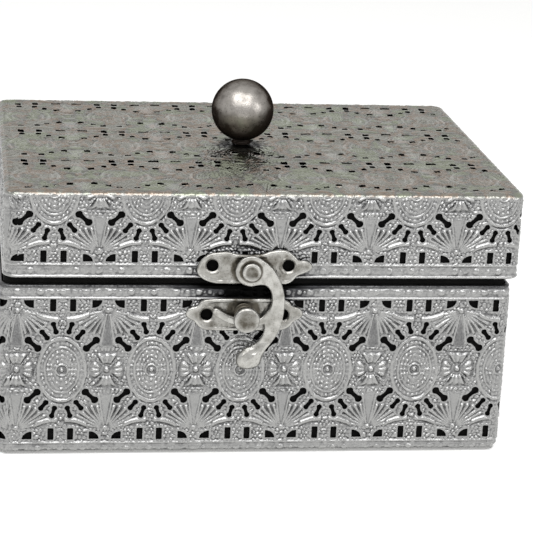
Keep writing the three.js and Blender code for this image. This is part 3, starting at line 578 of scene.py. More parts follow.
def wallSheet(part, number, cell, splits, material):
    isLid = part == "lid"
    look = lidSheet if isLid else baseSheet
    isFlat = number % 2 == 0
    edge = (box["side"] if isFlat else box["front"]) - box["corner"]
    reach = box["flatReach"] if isFlat else edge + box["corner"] * math.pi / 2
    phase = facePhase(look["phase"], number)
    scale = pattern["rowRise"] / look["rowRise"]
    low, lowRadius, high, highRadius = look["bends"][:4]
    start = low - lowRadius * math.pi / 2 - look["hems"][0]
    end = high + highRadius * math.pi / 2 + look["hems"][1]

    def distance(run, up):
        v = up - look["motifUp"]
        d = holeDistance(run - phase, v, scale)
        if isLid:  # only the lower half of the pattern is pierced
            d = np.where(v < 0, d, pattern["noHole"])
        if number == 0:  # pinned through behind the holes of the clasp plates
            for x, z in claspPins[part]:
                d = np.minimum(d, np.hypot(run - x, up - z) - claspPins["radius"])
        return d

    def heights(run, up):
        h = relief(run - phase, up - look["motifUp"], scale, distance(run, up), run, up)
        if not isFlat:
            past, halfWidth, share, level = box["cornerBand"]
            bend = ridge(np.abs(run) - edge - past, halfWidth, share)
            h = h * (1 - bend) + level * bend
        if isLid:
            h = foldedHeights(h, number, run, up)
        return borderHeights(h, look, run - phase, run, up)

    shift = box["lidShift"] if isLid else 0.0
    cuts = np.linspace(-reach, reach, splits + 1)
    for place in range(splits):
        columns = np.linspace(cuts[place], cuts[place + 1], round((cuts[place + 1] - cuts[place]) / cell) + 1)
        rows = np.linspace(start, end, round((end - start) / cell) + 1)
        run, up, triangles = snappedGrid(columns, rows, distance, heights)
        h = heights(run, up)
        x, y, outX, outY = wallPlan(run, number)
        inset, z, out, rise = wallSection(up, *look["bends"])
        below = (1 - h) * pattern["depth"]

        def lay(depth):
            inward = inset + depth * out
            return np.stack([x - outX * inward + shift, y - outY * inward, z - depth * rise], 1)

        points = lay(below)
        edges = edgeLoops(triangles, len(points))
        ends = (up[edges] <= start + cell / 2) | (up[edges] >= end - cell / 2)
        seam = (run[edges] <= cuts[place] + 0.01) | (run[edges] >= cuts[place + 1] - 0.01)
        edges = edges[~ends.any(1) & ~seam.all(1)]
        hollow = hollowShade(heights, h, run, up)
        hollow = np.maximum(hollow, leafShade(run - phase, up - look["motifUp"], scale))
        hollow = wallPaintedShade(hollow, isLid, number, run, up)
        dull = eased(rise, 0.25, 0.8) if isLid else np.zeros(len(run))  # the top is duller than the sides
        # painted shade: the folds over the ends are darkened a little
        if not isFlat:
            hollow = np.maximum(hollow, 0.12 * dull)
        ring, points, triangles = addWalls(points, triangles, edges, lay(np.maximum(below, pattern["wall"])))
        shades = {
            "hollow": np.concatenate([hollow, hollow[ring], np.full(len(ring), 2.0)]),  # 2: down in a hole
            "dull": np.concatenate([dull, dull[ring], dull[ring]]),
        }
        node = f"{part}_{faceNames[number]}_sheet"
        name = node + "_stamped" + (f"_{place + 1}" if splits > 1 else "")
        finishPiece(meshPiece(name, points, triangles, material, shades), part, "silver_sheet", node)


def topSheetPieces(cell, splits, material):
    look = topSheet
    halfAcross, halfAlong = box["side"] - look["inset"], box["front"] - look["inset"]
    radius = box["corner"] - look["inset"]
    phase = look["phase"]

    def fromKnob(x, y):
        return np.hypot(x - look["knobX"], y)

    def pierced(x, y):
        def allowed(kind, near, far, up):
            farX = np.maximum(np.abs(near + phase), np.abs(far + phase))
            margin = look["boneMargin"] if kind == "bone" else look["sideMargin"]
            fits = (farX < box["side"] - look["endMargin"]) & (np.abs(y) < box["front"] - margin)
            if kind in ("slot", "cornerHole"):  # one row of these between two lines of medallions
                fits = fits & (up > 0)
            return fits & (fromKnob(x, y) > look["knobClear"])

        return holeDistance(x - phase, topLine(y), pattern["rowRise"] / look["rowRise"], topHoles, allowed)

    def distance(x, y):
        outline = -rectangleDistance(x, y, 0, 0, halfAcross, halfAlong, radius)
        return np.minimum(np.minimum(pierced(x, y), outline), fromKnob(x, y) - look["shankHole"])

    def heights(x, y):
        knobLand = np.clip(look["knobLand"] - fromKnob(x, y), 0, 1)
        return topHeights(x, y, pierced(x, y)) * (1 - knobLand) + knobLand

    cuts = np.linspace(-halfAcross, halfAcross, splits + 1)
    z = box["lidTop"]
    for place in range(splits):
        low = cuts[place] - (cell if place == 0 else 0)
        high = cuts[place + 1] + (cell if place == splits - 1 else 0)
        columns = np.linspace(low, high, round((high - low) / cell) + 1)
        rows = np.linspace(-halfAlong - cell, halfAlong + cell, round((2 * halfAlong + 2 * cell) / cell) + 1)
        x, y, triangles = snappedGrid(columns, rows, distance, heights)
        h = heights(x, y)
        below = (1 - h) * pattern["depth"]
        points = np.stack([x + box["lidShift"], y, z - below], 1)
        edges = edgeLoops(triangles, len(points))
        seam = (np.abs(x[edges] - cuts[place]) < 0.01) | (np.abs(x[edges] - cuts[place + 1]) < 0.01)
        edges = edges[~seam.all(1) | (np.abs(x[edges]) > halfAcross - 0.5).all(1)]
        deeper = points.copy()
        deeper[:, 2] = z - np.maximum(below, pattern["wall"])
        hollow = hollowShade(heights, h, x, y)
        # painted shade: darker streaks round the knob's foot, for its shadow and the reflection of its dark
        # underside
        away, around = fromKnob(x, y), np.degrees(np.arctan2(y, x - look["knobX"])) + 180
        paintedShadeRadius, streak, shade = patinaAndPaintedShade["knob"]
        streaks = streak * blotches(around, away, 11.0, 15)
        hollow = hollow + shade * eased(paintedShadeRadius + streaks - away, 0, 6.0)
        ring, points, triangles = addWalls(points, triangles, edges, deeper)
        shades = {
            "hollow": np.concatenate([hollow, np.full(len(ring), 1.6), np.full(len(ring), 2.0)]),
            "dull": np.ones(len(points)),
        }
        piece = meshPiece(f"lid_top_sheet_stamped_{place + 1}", points, triangles, material, shades)
        finishPiece(piece, "lid", "dull_sheet", "lid_top_sheet")


# Outlines as distances, for the clasp plates and the hook

def outlineDistance(outline):
    start = np.array(outline, dtype=float)
    end = np.roll(start, -1, axis=0)

    def distance(u, v):
        flatU, flatV = np.ravel(u), np.ravel(v)
        best = np.full(flatU.shape, 1e9)
        inside = np.zeros(flatU.shape, dtype=bool)
        for (ax, ay), (bx, by) in zip(start, end):
            ex, ey = bx - ax, by - ay
            share = np.clip(((flatU - ax) * ex + (flatV - ay) * ey) / max(ex * ex + ey * ey, 1e-9), 0, 1)
            best = np.minimum(best, np.hypot(flatU - ax - share * ex, flatV - ay - share * ey))
            if ay != by:
                crosses = ((ay > flatV) != (by > flatV)) & (flatU < ex * (flatV - ay) / ey + ax)
                inside ^= crosses
        return np.where(inside, best, -best).reshape(np.shape(u))

    return distance


# Corners cut twice, so a line of measured points becomes a smooth edge
def smoothOutline(outline, passes=2):
    points = np.array(outline, dtype=float)
    for _ in range(passes):
        ahead = np.roll(points, -1, axis=0)
        points = np.stack([0.75 * points + 0.25 * ahead, 0.25 * points + 0.75 * ahead], 1).reshape(-1, 2)
    return points


# A closed plate from its distance: top and bottom are functions of place and distance to the edge
def platePiece(name, distance, limits, cell, top, bottom, place, material, shade=None):
    low, high, down, upper = limits
    columns = np.arange(low - 1.5 * cell, high + 1.5 * cell, cell)
    rows = np.arange(down - 1.5 * cell, upper + 1.5 * cell, cell)
    u, v, triangles = snappedGrid(columns, rows, distance)
    d = np.maximum(distance(u, v), 0)
    topPoints = place(u, v, top(u, v, d))
    bottomPoints = place(u, v, bottom(u, v, d))
    edges = edgeLoops(triangles, len(u))
    ring, points, faces = addWalls(topPoints, triangles, edges, bottomPoints)
    faces = np.concatenate([faces, triangles[:, ::-1] + len(points)])
    points = np.concatenate([points, bottomPoints])
    hollow = shade(u, v, d) if shade else np.zeros(len(u))
    shades = {"hollow": np.concatenate([hollow, hollow[ring], hollow[ring], hollow])}
    return meshPiece(name, points, faces, material, shades)


def bevelled(d, radius):
    t = np.clip(1 - d / radius, 0, 1)
    return radius * (1 - np.sqrt(1 - t ** 2))


# Places: how a piece's own u, v and w lie in the frame
def forward(x=0.0, z=0.0):  # w comes out of the front
    return lambda u, v, w: np.stack([x + u, -w, z + v], 1)


def backward(x, z):
    return lambda u, v, w: np.stack([x - u, w, z + v], 1)


def upright(x=0.0):
    return lambda u, v, w: np.stack([x + u, v, w], 1)


def sideways(x, y, z):
    return lambda u, v, w: np.stack([x + w, y + u, z + v], 1)


# Turned pieces: the profile is (radius, distance along the axis, and how deep it looks, if not 0)
def turnedPiece(name, profile, steps, place, material):
    profile = np.array(profile, dtype=float)
    angles = np.linspace(0, 2 * math.pi, steps, endpoint=False)
    radius, along = profile[:, 0], profile[:, 1]
    u = radius[:, None] * np.cos(angles)
    v = radius[:, None] * np.sin(angles)
    w = np.repeat(along[:, None], steps, 1)
    index = np.arange(u.size).reshape(u.shape)
    a, b = index[:-1], np.roll(index[:-1], -1, 1)
    c, e = np.roll(index[1:], -1, 1), index[1:]
    faces = np.stack([a.ravel(), b.ravel(), c.ravel(), e.ravel()], 1)
    points = place(u.ravel(), v.ravel(), w.ravel())
    shade = profile[:, 2] if profile.shape[1] > 2 else np.zeros(len(profile))
    shades = {"hollow": np.repeat(shade, steps)}
    piece = meshPiece(name, points, faces, material, shades)
    cleanMesh(piece.data)
    piece.data.set_sharp_from_angle(angle=math.radians(32))
    return piece


def joined(name, pieces):
    with bpy.context.temp_override(active_object=pieces[0], selected_editable_objects=pieces):
        bpy.ops.object.join()
    pieces[0].name = pieces[0].data.name = name
    return pieces[0]


def linear(colour):
    channels = [int(colour[place:place + 2], 16) / 255 for place in (1, 3, 5)]
    return [c / 12.92 if c <= 0.04045 else ((c + 0.055) / 1.055) ** 2.4 for c in channels] + [1.0]


def addNode(tree, kind, settings=None, links=None):
    node = tree.nodes.new("ShaderNode" + kind)
    for key, value in (settings or {}).items():
        if isinstance(key, str) and key[0].islower():
            setattr(node, key, value)
        else:
            node.inputs[key].default_value = value
    for key, socket in (links or {}).items():
        tree.links.new(socket, node.inputs[key])
    return node


def perMetre(size):  # pattern scale for features of this many millimetres
    return 1000 / size


def newMaterial(name):
    material = bpy.data.materials.new(name)
    material.use_nodes = True
    tree = material.node_tree
    tree.nodes.clear()
    shader = addNode(tree, "BsdfPrincipled")
    addNode(tree, "OutputMaterial", links={"Surface": shader.outputs[0]})
    place = addNode(tree, "TexCoord").outputs["Object"]
    return material, tree, shader, place


def dressShader(tree, shader, links, values):
    for name, socket in links.items():
        tree.links.new(socket, shader.inputs[name])
    for name, value in values.items():
        shader.inputs[name].default_value = value


# Nickel-washed tinplate, stamped and then darkened in the hollows: bright rubbed crests, near-black recesses.
# On the top it has aged to dull patches of green, grey, brown and cream.
# The hollow attribute also brings painted shade on the base's rim, below the clasp, round the knob and on the
# folds over the ends, and a darkening round the clasp.
stampedTin = {
    "crest": "#9a9a99", "slope": "#868686", "hollow": "#353537",
    "aged": {0.4: "#8b8f7e", 0.47: "#80807c", 0.53: "#928477", 0.6: "#94938b"}, "agedHollow": "#403f39",
    "pierced": "#0b0b0b",
    "rubbed": (0.0, 0.5), "sunk": (0.4, 0.9), "through": (1.1, 1.7),  # depths from and to
    "roughness": 0.24, "hollowRoughness": 0.4,
    "cloud": 9.0, "patch": 9.0, "speck": 0.55, "speckDepth": 0.15,  # mm; specks are drawn coarser, to show
}


def stampedTinMaterial():
    look = stampedTin
    material, tree, shader, place = newMaterial("stamped_nickel_washed_tin")
    hollow = addNode(tree, "Attribute", {"attribute_name": "hollow"}).outputs["Fac"]
    dull = addNode(tree, "Attribute", {"attribute_name": "dull"}).outputs["Fac"]
    cloud = addNode(tree, "TexNoise", {"Scale": perMetre(look["cloud"]), "Detail": 4.0}, {"Vector": place})
    speck = addNode(tree, "TexNoise", {"Scale": perMetre(look["speck"]), "Detail": 3.0}, {"Vector": place})

    # patina follows the hollows, unevenly
    worn = addNode(tree, "Math", {"operation": "MULTIPLY_ADD", 1: 0.4, 2: -0.16}, {0: cloud.outputs["Fac"]})
    grain = addNode(tree, "Math", {"operation": "MULTIPLY_ADD", 1: 0.5, 2: -0.25}, {0: speck.outputs["Fac"]})
    depth = addNode(tree, "Math", {"operation": "ADD"}, {0: hollow, 1: worn.outputs[0]})
    depth = addNode(tree, "Math", {"operation": "ADD"}, {0: depth.outputs[0], 1: grain.outputs[0]})
    rubbed, sunk = [addNode(tree, "MapRange", {"From Min": look[key][0], "From Max": look[key][1]},
                            {"Value": depth.outputs[0]}) for key in ("rubbed", "sunk")]
    bright = addNode(tree, "Mix", {"data_type": "RGBA", 6: linear(look["crest"]), 7: linear(look["slope"])},
                     {0: rubbed.outputs[0]})
    bright = addNode(tree, "Mix", {"data_type": "RGBA", 7: linear(look["hollow"])},
                     {0: sunk.outputs[0], 6: bright.outputs[2]})

    # the dull top
    patch = addNode(tree, "TexNoise", {"Scale": perMetre(look["patch"]), "Detail": 2.5}, {"Vector": place})
    aged = addNode(tree, "ValToRGB", links={0: patch.outputs["Fac"]})
    for stop, tone in look["aged"].items():
        element = aged.color_ramp.elements.new(stop)
        element.color = linear(tone)
    for end in (0, -1):
        aged.color_ramp.elements.remove(aged.color_ramp.elements[end])
    matt = addNode(tree, "Mix", {"data_type": "RGBA", 7: linear(look["agedHollow"])},
                   {0: depth.outputs[0], 6: aged.outputs[0]})
    colour = addNode(tree, "Mix", {"data_type": "RGBA"}, {0: dull, 6: bright.outputs[2], 7: matt.outputs[2]})

    # the walls of the holes are black
    start, end = look["through"]
    through = addNode(tree, "MapRange", {"From Min": start, "From Max": end}, {"Value": hollow})
    colour = addNode(tree, "Mix", {"data_type": "RGBA", 7: linear(look["pierced"])},
                     {0: through.outputs[0], 6: colour.outputs[2]})
    rough = addNode(tree, "MapRange", {"From Min": 0.0, "From Max": 1.0, "To Min": look["roughness"],
                                       "To Max": look["hollowRoughness"]}, {"Value": depth.outputs[0]})
    bump = addNode(tree, "Bump", {"Strength": 0.8, "Distance": look["speckDepth"] * mm},
                   {"Height": speck.outputs["Fac"]})
    dressShader(tree, shader, {"Base Color": colour.outputs[2], "Roughness": rough.outputs[0],
                               "Normal": bump.outputs[0]}, {"Metallic": 1.0})
    return material


# Cast or plated metals share one build: a tone, its tarnish, pits and fine scratches. Sizes are mm, and the
# scratches are coarser than real ones, so that they show.
fittingMetals = {
    # nickel plate over stamped brass: warm light grey with small pits
    "nickel_plated_brass": {"tone": "#adaca8", "tarnish": "#524e46", "roughness": 0.26, "spread": 0.16,
                            "patch": 3.0, "pit": 0.7, "pitDepth": 0.06, "dents": 0.0, "scratch": 0.35,
                            "film": "#ffffff"},
    # cast pewter, dulled by handling: mid grey with a brown cast
    "cast_pewter": {"tone": "#9b9792", "tarnish": "#3d3733", "roughness": 0.27, "spread": 0.22,
                    "patch": 3.4, "pit": 0.9, "pitDepth": 0.07, "dents": 2.5, "scratch": 0.35,
                    "film": "#6e6a66"},
    # zinc-plated steel, machined: cooler and plainer
    "zinc_plated_steel": {"tone": "#9b9b9d", "tarnish": "#5d5b58", "roughness": 0.36, "spread": 0.12,
                          "patch": 3.0, "pit": 0.4, "pitDepth": 0.02, "dents": 0.0, "scratch": 0.35,
                          "film": "#ffffff"},
}


def fittingMetal(name):
    look = fittingMetals[name]
    material, tree, shader, place = newMaterial(name)
    hollow = addNode(tree, "Attribute", {"attribute_name": "hollow"}).outputs["Fac"]
    patch = addNode(tree, "TexNoise", {"Scale": perMetre(look["patch"]), "Detail": 5.0}, {"Vector": place})
    pit = addNode(tree, "TexVoronoi", {"Scale": perMetre(look["pit"]), "Randomness": 1.0}, {"Vector": place})
    fine = addNode(tree, "TexNoise", {"Scale": perMetre(look["scratch"]), "Detail": 2.0}, {"Vector": place})
    pitted = addNode(tree, "MapRange", {"From Min": 0.08, "From Max": 0.3, "To Min": 1.0, "To Max": 0.0},
                     {"Value": pit.outputs["Distance"]})
    patchy = addNode(tree, "MapRange", {"From Min": 0.42, "From Max": 0.72}, {"Value": patch.outputs["Fac"]})

    # tarnish sits in the hollows, in patches and in the pits; the hollow attribute also brings painted shade
    # and the knob's painted highlight
    dark = addNode(tree, "Math", {"operation": "MULTIPLY_ADD", 1: 0.55}, {0: patchy.outputs[0], 2: hollow})
    dark = addNode(tree, "Math", {"operation": "MULTIPLY_ADD", 1: 0.4, "use_clamp": True},
                   {0: pitted.outputs[0], 2: dark.outputs[0]})
    colour = addNode(tree, "Mix", {"data_type": "RGBA", 6: linear(look["tone"]), 7: linear(look["tarnish"])},
                     {0: dark.outputs[0]})
    rough = addNode(tree, "MapRange", {"From Min": 0.0, "From Max": 1.0, "To Min": look["roughness"],
                                       "To Max": look["roughness"] + look["spread"]},
                    {"Value": dark.outputs[0]})
    height = addNode(tree, "Math", {"operation": "MULTIPLY_ADD", 1: -0.6},
                     {0: pitted.outputs[0], 2: fine.outputs["Fac"]})
    height = addNode(tree, "Math", {"operation": "MULTIPLY_ADD", 1: look["dents"]},
                     {0: patch.outputs["Fac"], 2: height.outputs[0]})
    bump = addNode(tree, "Bump", {"Strength": 0.45, "Distance": look["pitDepth"] * mm},
                   {"Height": height.outputs[0]})
    # an oxide film dulls it where it is seen edge on
    dressShader(tree, shader, {"Base Color": colour.outputs[2], "Roughness": rough.outputs[0],
                               "Normal": bump.outputs[0]},
                {"Metallic": 1.0, "Specular Tint": linear(look["film"])})
    return material


# Strawboard brushed with black paint: a matt, slightly fibrous near-black
blackBoard = {
    "paint": "#0a0a0a", "worn": "#191817", "roughness": 0.9, "gloss": 0.12,
    "fibre": 0.6, "fibreStretch": (0.25, 0.25, 1.0), "fibreDepth": 0.08, "cloud": 14,  # mm
}


def blackBoardMaterial():
    look = blackBoard
    material, tree, shader, place = newMaterial("black_painted_strawboard")
    stretch = addNode(tree, "Mapping", {"Scale": look["fibreStretch"]}, {"Vector": place})
    fibre = addNode(tree, "TexNoise", {"Scale": perMetre(look["fibre"]), "Detail": 6.0},
                    {"Vector": stretch.outputs[0]})
    cloud = addNode(tree, "TexNoise", {"Scale": perMetre(look["cloud"]), "Detail": 3.0}, {"Vector": place})
    worn = addNode(tree, "Math", {"operation": "MULTIPLY"},
                   {0: fibre.outputs["Fac"], 1: cloud.outputs["Fac"]})
    worn = addNode(tree, "MapRange", {"From Min": 0.12, "From Max": 0.5}, {"Value": worn.outputs[0]})
    colour = addNode(tree, "Mix", {"data_type": "RGBA", 6: linear(look["paint"]), 7: linear(look["worn"])},
                     {0: worn.outputs[0]})
    bump = addNode(tree, "Bump", {"Strength": 0.4, "Distance": look["fibreDepth"] * mm},
                   {"Height": fibre.outputs["Fac"]})
    dressShader(tree, shader, {"Base Color": colour.outputs[2], "Normal": bump.outputs[0]},
                {"Roughness": look["roughness"], "Specular IOR Level": look["gloss"]})
    return material


# Cotton velvet: short upright pile, dark face on, lighter where it is brushed aside
cottonVelvet = {
    "pile": "#1d1418", "brushed": "#40323a", "bloom": "#8a7482",
    "tuft": 0.5, "tuftDepth": 0.25, "sweep": 18.0,  # mm; tufts are drawn coarser than the pile, to show
    "roughness": 0.95, "sheen": 0.6, "sheenRoughness": 0.35,
}


def velvetMaterial():
    look = cottonVelvet
    material, tree, shader, place = newMaterial("cotton_velvet")
    tuft = addNode(tree, "TexNoise", {"Scale": perMetre(look["tuft"]), "Detail": 4.0}, {"Vector": place})
    sweep = addNode(tree, "TexNoise", {"Scale": perMetre(look["sweep"]), "Detail": 3.0, "Distortion": 0.8},
                    {"Vector": place})
    nap = addNode(tree, "MapRange", {"From Min": 0.42, "From Max": 0.62}, {"Value": sweep.outputs["Fac"]})
    brushed = addNode(tree, "Math", {"operation": "MULTIPLY", "use_clamp": True},
                      {0: nap.outputs[0], 1: tuft.outputs["Fac"]})
    colour = addNode(tree, "Mix", {"data_type": "RGBA", 6: linear(look["pile"]), 7: linear(look["brushed"])},
                     {0: brushed.outputs[0]})
    bump = addNode(tree, "Bump", {"Strength": 0.5, "Distance": look["tuftDepth"] * mm},
                   {"Height": tuft.outputs["Fac"]})
    dressShader(tree, shader, {"Base Color": colour.outputs[2], "Normal": bump.outputs[0]},
                {"Roughness": look["roughness"], "Sheen Weight": look["sheen"],
                 "Sheen Roughness": look["sheenRoughness"], "Sheen Tint": linear(look["bloom"])})
    return material


tin = stampedTinMaterial()
nickel = fittingMetal("nickel_plated_brass")
pewter = fittingMetal("cast_pewter")
steel = fittingMetal("zinc_plated_steel")
paintedBoard = blackBoardMaterial()
velvet = velvetMaterial()
print("materials made")


# Stamped sheets: mm to a cell, finer on the front, which is seen closest
sheetCells = {"front": 0.25, "other": 0.4, "top": 0.32}

for number in range(4):
    cell = sheetCells["front"] if number == 0 else sheetCells["other"]
    wallSheet("base", number, cell, 2 if number == 0 else 1, tin)
    wallSheet("lid", number, cell, 1, tin)
    print("stamped wall", number + 1)
topSheetPieces(sheetCells["top"], 3, tin)
print("stamped top")


# Clasp: outlines are shares of the plate's reach or of the hook's length
clasp = {
    "pivotX": -3.6, "pivotZ": 68.0, "plateReach": 16.8, "plateBack": 66.8, "plateFront": 67.8,
    "plateHoleAcross": 13.0, "plateHole": 2.1, "pinHole": 1.8, "plateSpan": 1.31, "plateHalfHeight": 6.5,
    # lidPaintedShade, catchPaintedShade: radius of the painted shade round the hook's ring and round the stud
    "lidPlateZ": 69.3, "lidPaintedShade": 7.4, "catchX": -4.9, "catchZ": 51.8, "catchPaintedShade": 6.6,
    "studX": -5.4, "studZ": 52.96, "hookLength": 35.4, "hookBack": 68.6, "hookFront": 70.0,
    "ring": 5.4, "prong": 17.1, "prongWidth": 2.6, "prongStart": -76, "prongEnd": -128,  # degrees
    "tabDrop": 25.5, "cell": 0.2, "bevel": 0.55,
}
# Turned pieces: radius, distance out of the front, and how deep it looks
rivetProfile = [
    (0, 61.7, 1), (1.5, 61.7, 1), (1.5, 70.15, 1), (2.85, 70.15, 1), (3.05, 70.25, 0.9),
    (3.2, 70.45, 0.6), (3.23, 70.9, 0.2), (3.15, 71.2, 0), (2.95, 71.42, 0), (2.65, 71.54, 0),
    (2.3, 71.5, 0.1), (1.95, 71.3, 0.6), (1.45, 71.12, 0.75), (0.7, 71.0, 0.6), (0, 70.97, 0.5),
]
# The stud's shank, flange and neck have painted shade, as if under its button
studProfile = [
    (0, 61.7, 0.95), (1.5, 61.7, 0.95), (1.5, 67.95, 0.95), (3.05, 67.95, 0.95), (3.2, 68.05, 0.95),
    (3.2, 68.3, 0.95), (3.05, 68.43, 0.95), (2.35, 68.5, 0.95), (2.08, 68.7, 0.95), (2.0, 69.1, 0.95),
    (2.0, 74.3, 0.95), (2.15, 74.8, 0.95), (2.6, 75.05, 0.9), (3.9, 75.12, 0.7), (4.25, 75.28, 0.4),
    (4.43, 75.65, 0.1), (4.45, 76.1, 0.1), (4.43, 76.6, 0.1), (4.3, 77.0, 0.1), (4.05, 77.28, 0.1),
    (3.65, 77.45, 0.15), (3.1, 77.5, 0.4), (2.4, 77.47, 0.6), (1.4, 77.4, 0.7), (0.6, 77.36, 0.7),
    (0, 77.35, 0.7),
]
lidPlateShares = [
    (-1.1, -0.02), (-1.03, 0.17), (-0.85, 0.32), (-0.63, 0.35), (-0.46, 0.36), (-0.29, 0.3),
    (-0.03, 0.29), (0.24, 0.3), (0.39, 0.37), (0.6, 0.4), (0.76, 0.38), (0.91, 0.26), (0.98, 0.165),
    (1.12, 0.18), (1.23, 0.12), (1.28, 0.04), (1.22, -0.04), (1.1, -0.1), (0.98, -0.14), (0.93, -0.19),
    (0.86, -0.28), (0.76, -0.33), (0.65, -0.33), (0.1, -0.325), (-0.62, -0.33), (-0.8, -0.3),
    (-0.97, -0.23), (-1.07, -0.13),
]
catchHalfShares = [
    (0, 0.345), (0.75, 0.345), (0.91, 0.28), (0.98, 0.17), (1.1, 0.16), (1.19, 0.08), (1.21, 0),
    (1.16, -0.08), (1.02, -0.14), (0.95, -0.25), (0.84, -0.32), (0.7, -0.345), (0, -0.345),
]
mouthShares = [
    (0.09, -0.135), (0.15, -0.14), (0.192, -0.19), (0.21, -0.25), (0.213, -0.32), (0.195, -0.38),
    (0.16, -0.425),
]
tabShares = [
    (0.155, -0.53), (0.155, -0.605), (0.123, -0.685), (0.055, -0.747), (-0.013, -0.77), (-0.062, -0.812),
    (-0.093, -0.845), (-0.11, -0.895), (-0.1, -0.967), (-0.025, -1), (0.07, -0.988), (0.128, -0.955),
    (0.142, -0.895), (0.173, -0.802), (0.24, -0.71), (0.3, -0.605), (0.33, -0.48), (0.343, -0.345),
    (0.337, -0.24), (0.29, -0.085), (0.193, 0.05),
]


def arc(x, y, radius, start, end, steps):
    angles = np.radians(np.linspace(start, end, steps + 1))
    return [(x + radius * math.cos(turn), y + radius * math.sin(turn)) for turn in angles]


def grainNoise(u, v, size):  # smooth dents of about this size, the same on every run
    total = np.zeros(np.shape(u))
    for k, (du, dv) in enumerate([(1.0, 0.37), (-0.52, 0.91), (0.71, -0.83), (0.23, 1.13), (-1.07, -0.19)]):
        total = total + np.sin((u * du + v * dv) * 2 * math.pi / size + 1.7 * k) / 5
    return total


def claspPlate(name, shares, x, z, screwHoles, pinHole, paintedShadeRadius):
    look = clasp
    size = look["plateReach"]
    edge = outlineDistance(smoothOutline([(x + a * size, z + b * size) for a, b in shares]))

    def distance(u, v):
        d = edge(u, v)
        for holeX, holeZ, radius in screwHoles + [pinHole]:
            d = np.minimum(d, np.hypot(u - holeX, v - holeZ) - radius)
        return d

    def top(u, v, d):
        rim = np.minimum(np.maximum(edge(u, v), 0), 4)
        middle = eased(rim, 0.8, 1.7)
        dish = 0.3 * middle  # the middle is pressed in, the rim stands
        for holeX, holeZ, radius in screwHoles:  # a flat land round each hole, countersunk
            out = np.hypot(u - holeX, v - holeZ) - radius
            dish = np.maximum(dish * eased(out, 0.6, 1.4), 0.5 * np.clip(1 - out / 0.6, 0, 1))
        rough = 0.16 * (blotches(u, v, 0.7, 11) - 0.5) * middle * (dish < 0.31)
        return look["plateFront"] - 0.09 - np.maximum(bevelled(rim, 0.7), dish) + rough

    def bottom(u, v, d):
        return np.full(u.shape, look["plateBack"])

    def shade(u, v, d):
        rim = np.maximum(edge(u, v), 0)
        under = np.hypot(u - pinHole[0], v - pinHole[1])  # painted shade under the hook's ring on the lid plate, round the stud on the catch plate
        return 0.35 * np.clip((rim - 0.9) / 1.0, 0, 1) + 0.7 * eased(paintedShadeRadius - under, 0, 1.8)

    reach, halfHeight = size * look["plateSpan"], look["plateHalfHeight"]
    limits = (x - reach, x + reach, z - halfHeight, z + halfHeight)
    return platePiece(name, distance, limits, look["cell"], top, bottom, forward(), nickel, shade)


def screwHolePair(x, z):
    return [(x + side * clasp["plateHoleAcross"], z, clasp["plateHole"]) for side in (-1, 1)]


def buildClasp():
    look = clasp
    x, z = look["pivotX"], look["pivotZ"]
    middle = look["lidPlateZ"] - look["plateHole"] / 2
    plate = claspPlate("clasp_lid_plate_pressed", lidPlateShares, x, middle,
                       screwHolePair(x, look["lidPlateZ"]), (x, z, look["pinHole"]), look["lidPaintedShade"])
    finishPiece(plate, "lid", "nickel", "clasp_lid_plate")
    shares = catchHalfShares + [(-a, b) for a, b in catchHalfShares[1:-1][::-1]]
    plate = claspPlate("clasp_catch_plate_pressed", shares, look["catchX"], look["catchZ"],
                       screwHolePair(look["catchX"], look["catchZ"]),
                       (look["studX"], look["studZ"], look["pinHole"]), look["catchPaintedShade"])
    finishPiece(plate, "base", "nickel", "clasp_catch_plate")

    # hook: ring, mouth, prong, arm and thumb tab in one outline
    length, prong, width = look["hookLength"], look["prong"], look["prongWidth"]
    start, end = look["prongStart"], look["prongEnd"]
    tip, run = math.radians(end), prong + width / 2
    outline = arc(0, 0, look["ring"], 55, 275, 32)
    outline += [(a * length, b * length) for a, b in mouthShares]
    outline += arc(0, 0, prong, start, end, 16)
    outline += arc(run * math.cos(tip), run * math.sin(tip), width / 2, end + 180, end + 360, 8)[1:-1]
    outline += arc(0, 0, prong + width, end, start, 16)
    outline += [(a * length, b * length) for a, b in tabShares]
    edge = outlineDistance(smoothOutline([(x + a, z + b) for a, b in outline]))

    def distance(u, v):
        return np.minimum(edge(u, v), np.hypot(u - x, v - z) - look["pinHole"])

    def tabShare(v):
        return np.clip((z - look["tabDrop"] - v) / 4, 0, 1)

    def top(u, v, d):
        tab = tabShare(v)
        crown = 1.3 * tab * np.clip(d / 3.4, 0, 1) ** 0.8 + 0.2 * tab * ridge(d - 1.2, 0.6, 1.0)
        dents = 0.04 * grainNoise(u, v, 3.1) + 0.06 * tab * grainNoise(u, v, 1.7)
        return look["hookFront"] - 0.1 - bevelled(d, look["bevel"] + 0.3 * tab) + crown + dents

    def bottom(u, v, d):
        return look["hookBack"] + 0.5 * bevelled(d, look["bevel"])

    def shade(u, v, d):
        fromRivet = np.abs(np.hypot(u - x, v - z) - 3.5)  # a dark ring round the rivet's head
        dents = np.clip(grainNoise(u, v, 1.7) * 2, 0, 1)
        return 0.15 * tabShare(v) * dents + 0.9 * eased(0.8 - fromRivet, 0, 0.6)

    limits = (x - 16.5, x + 13.5, z - 37, z + 7)
    hook = platePiece("clasp_hook_bevelled", distance, limits, look["cell"] * 0.8, top, bottom,
                      forward(), nickel, shade)
    finishPiece(hook, "hook", "nickel", "clasp_hook")

    rivet = turnedPiece("clasp_rivet_turned", rivetProfile, 64, forward(x, z), nickel)
    finishPiece(rivet, "lid", "nickel", "clasp_rivet")
    stud = turnedPiece("clasp_stud_turned", studProfile, 72, forward(look["studX"], look["studZ"]), nickel)
    finishPiece(stud, "base", "nickel", "clasp_stud")


buildClasp()
print("clasp made")


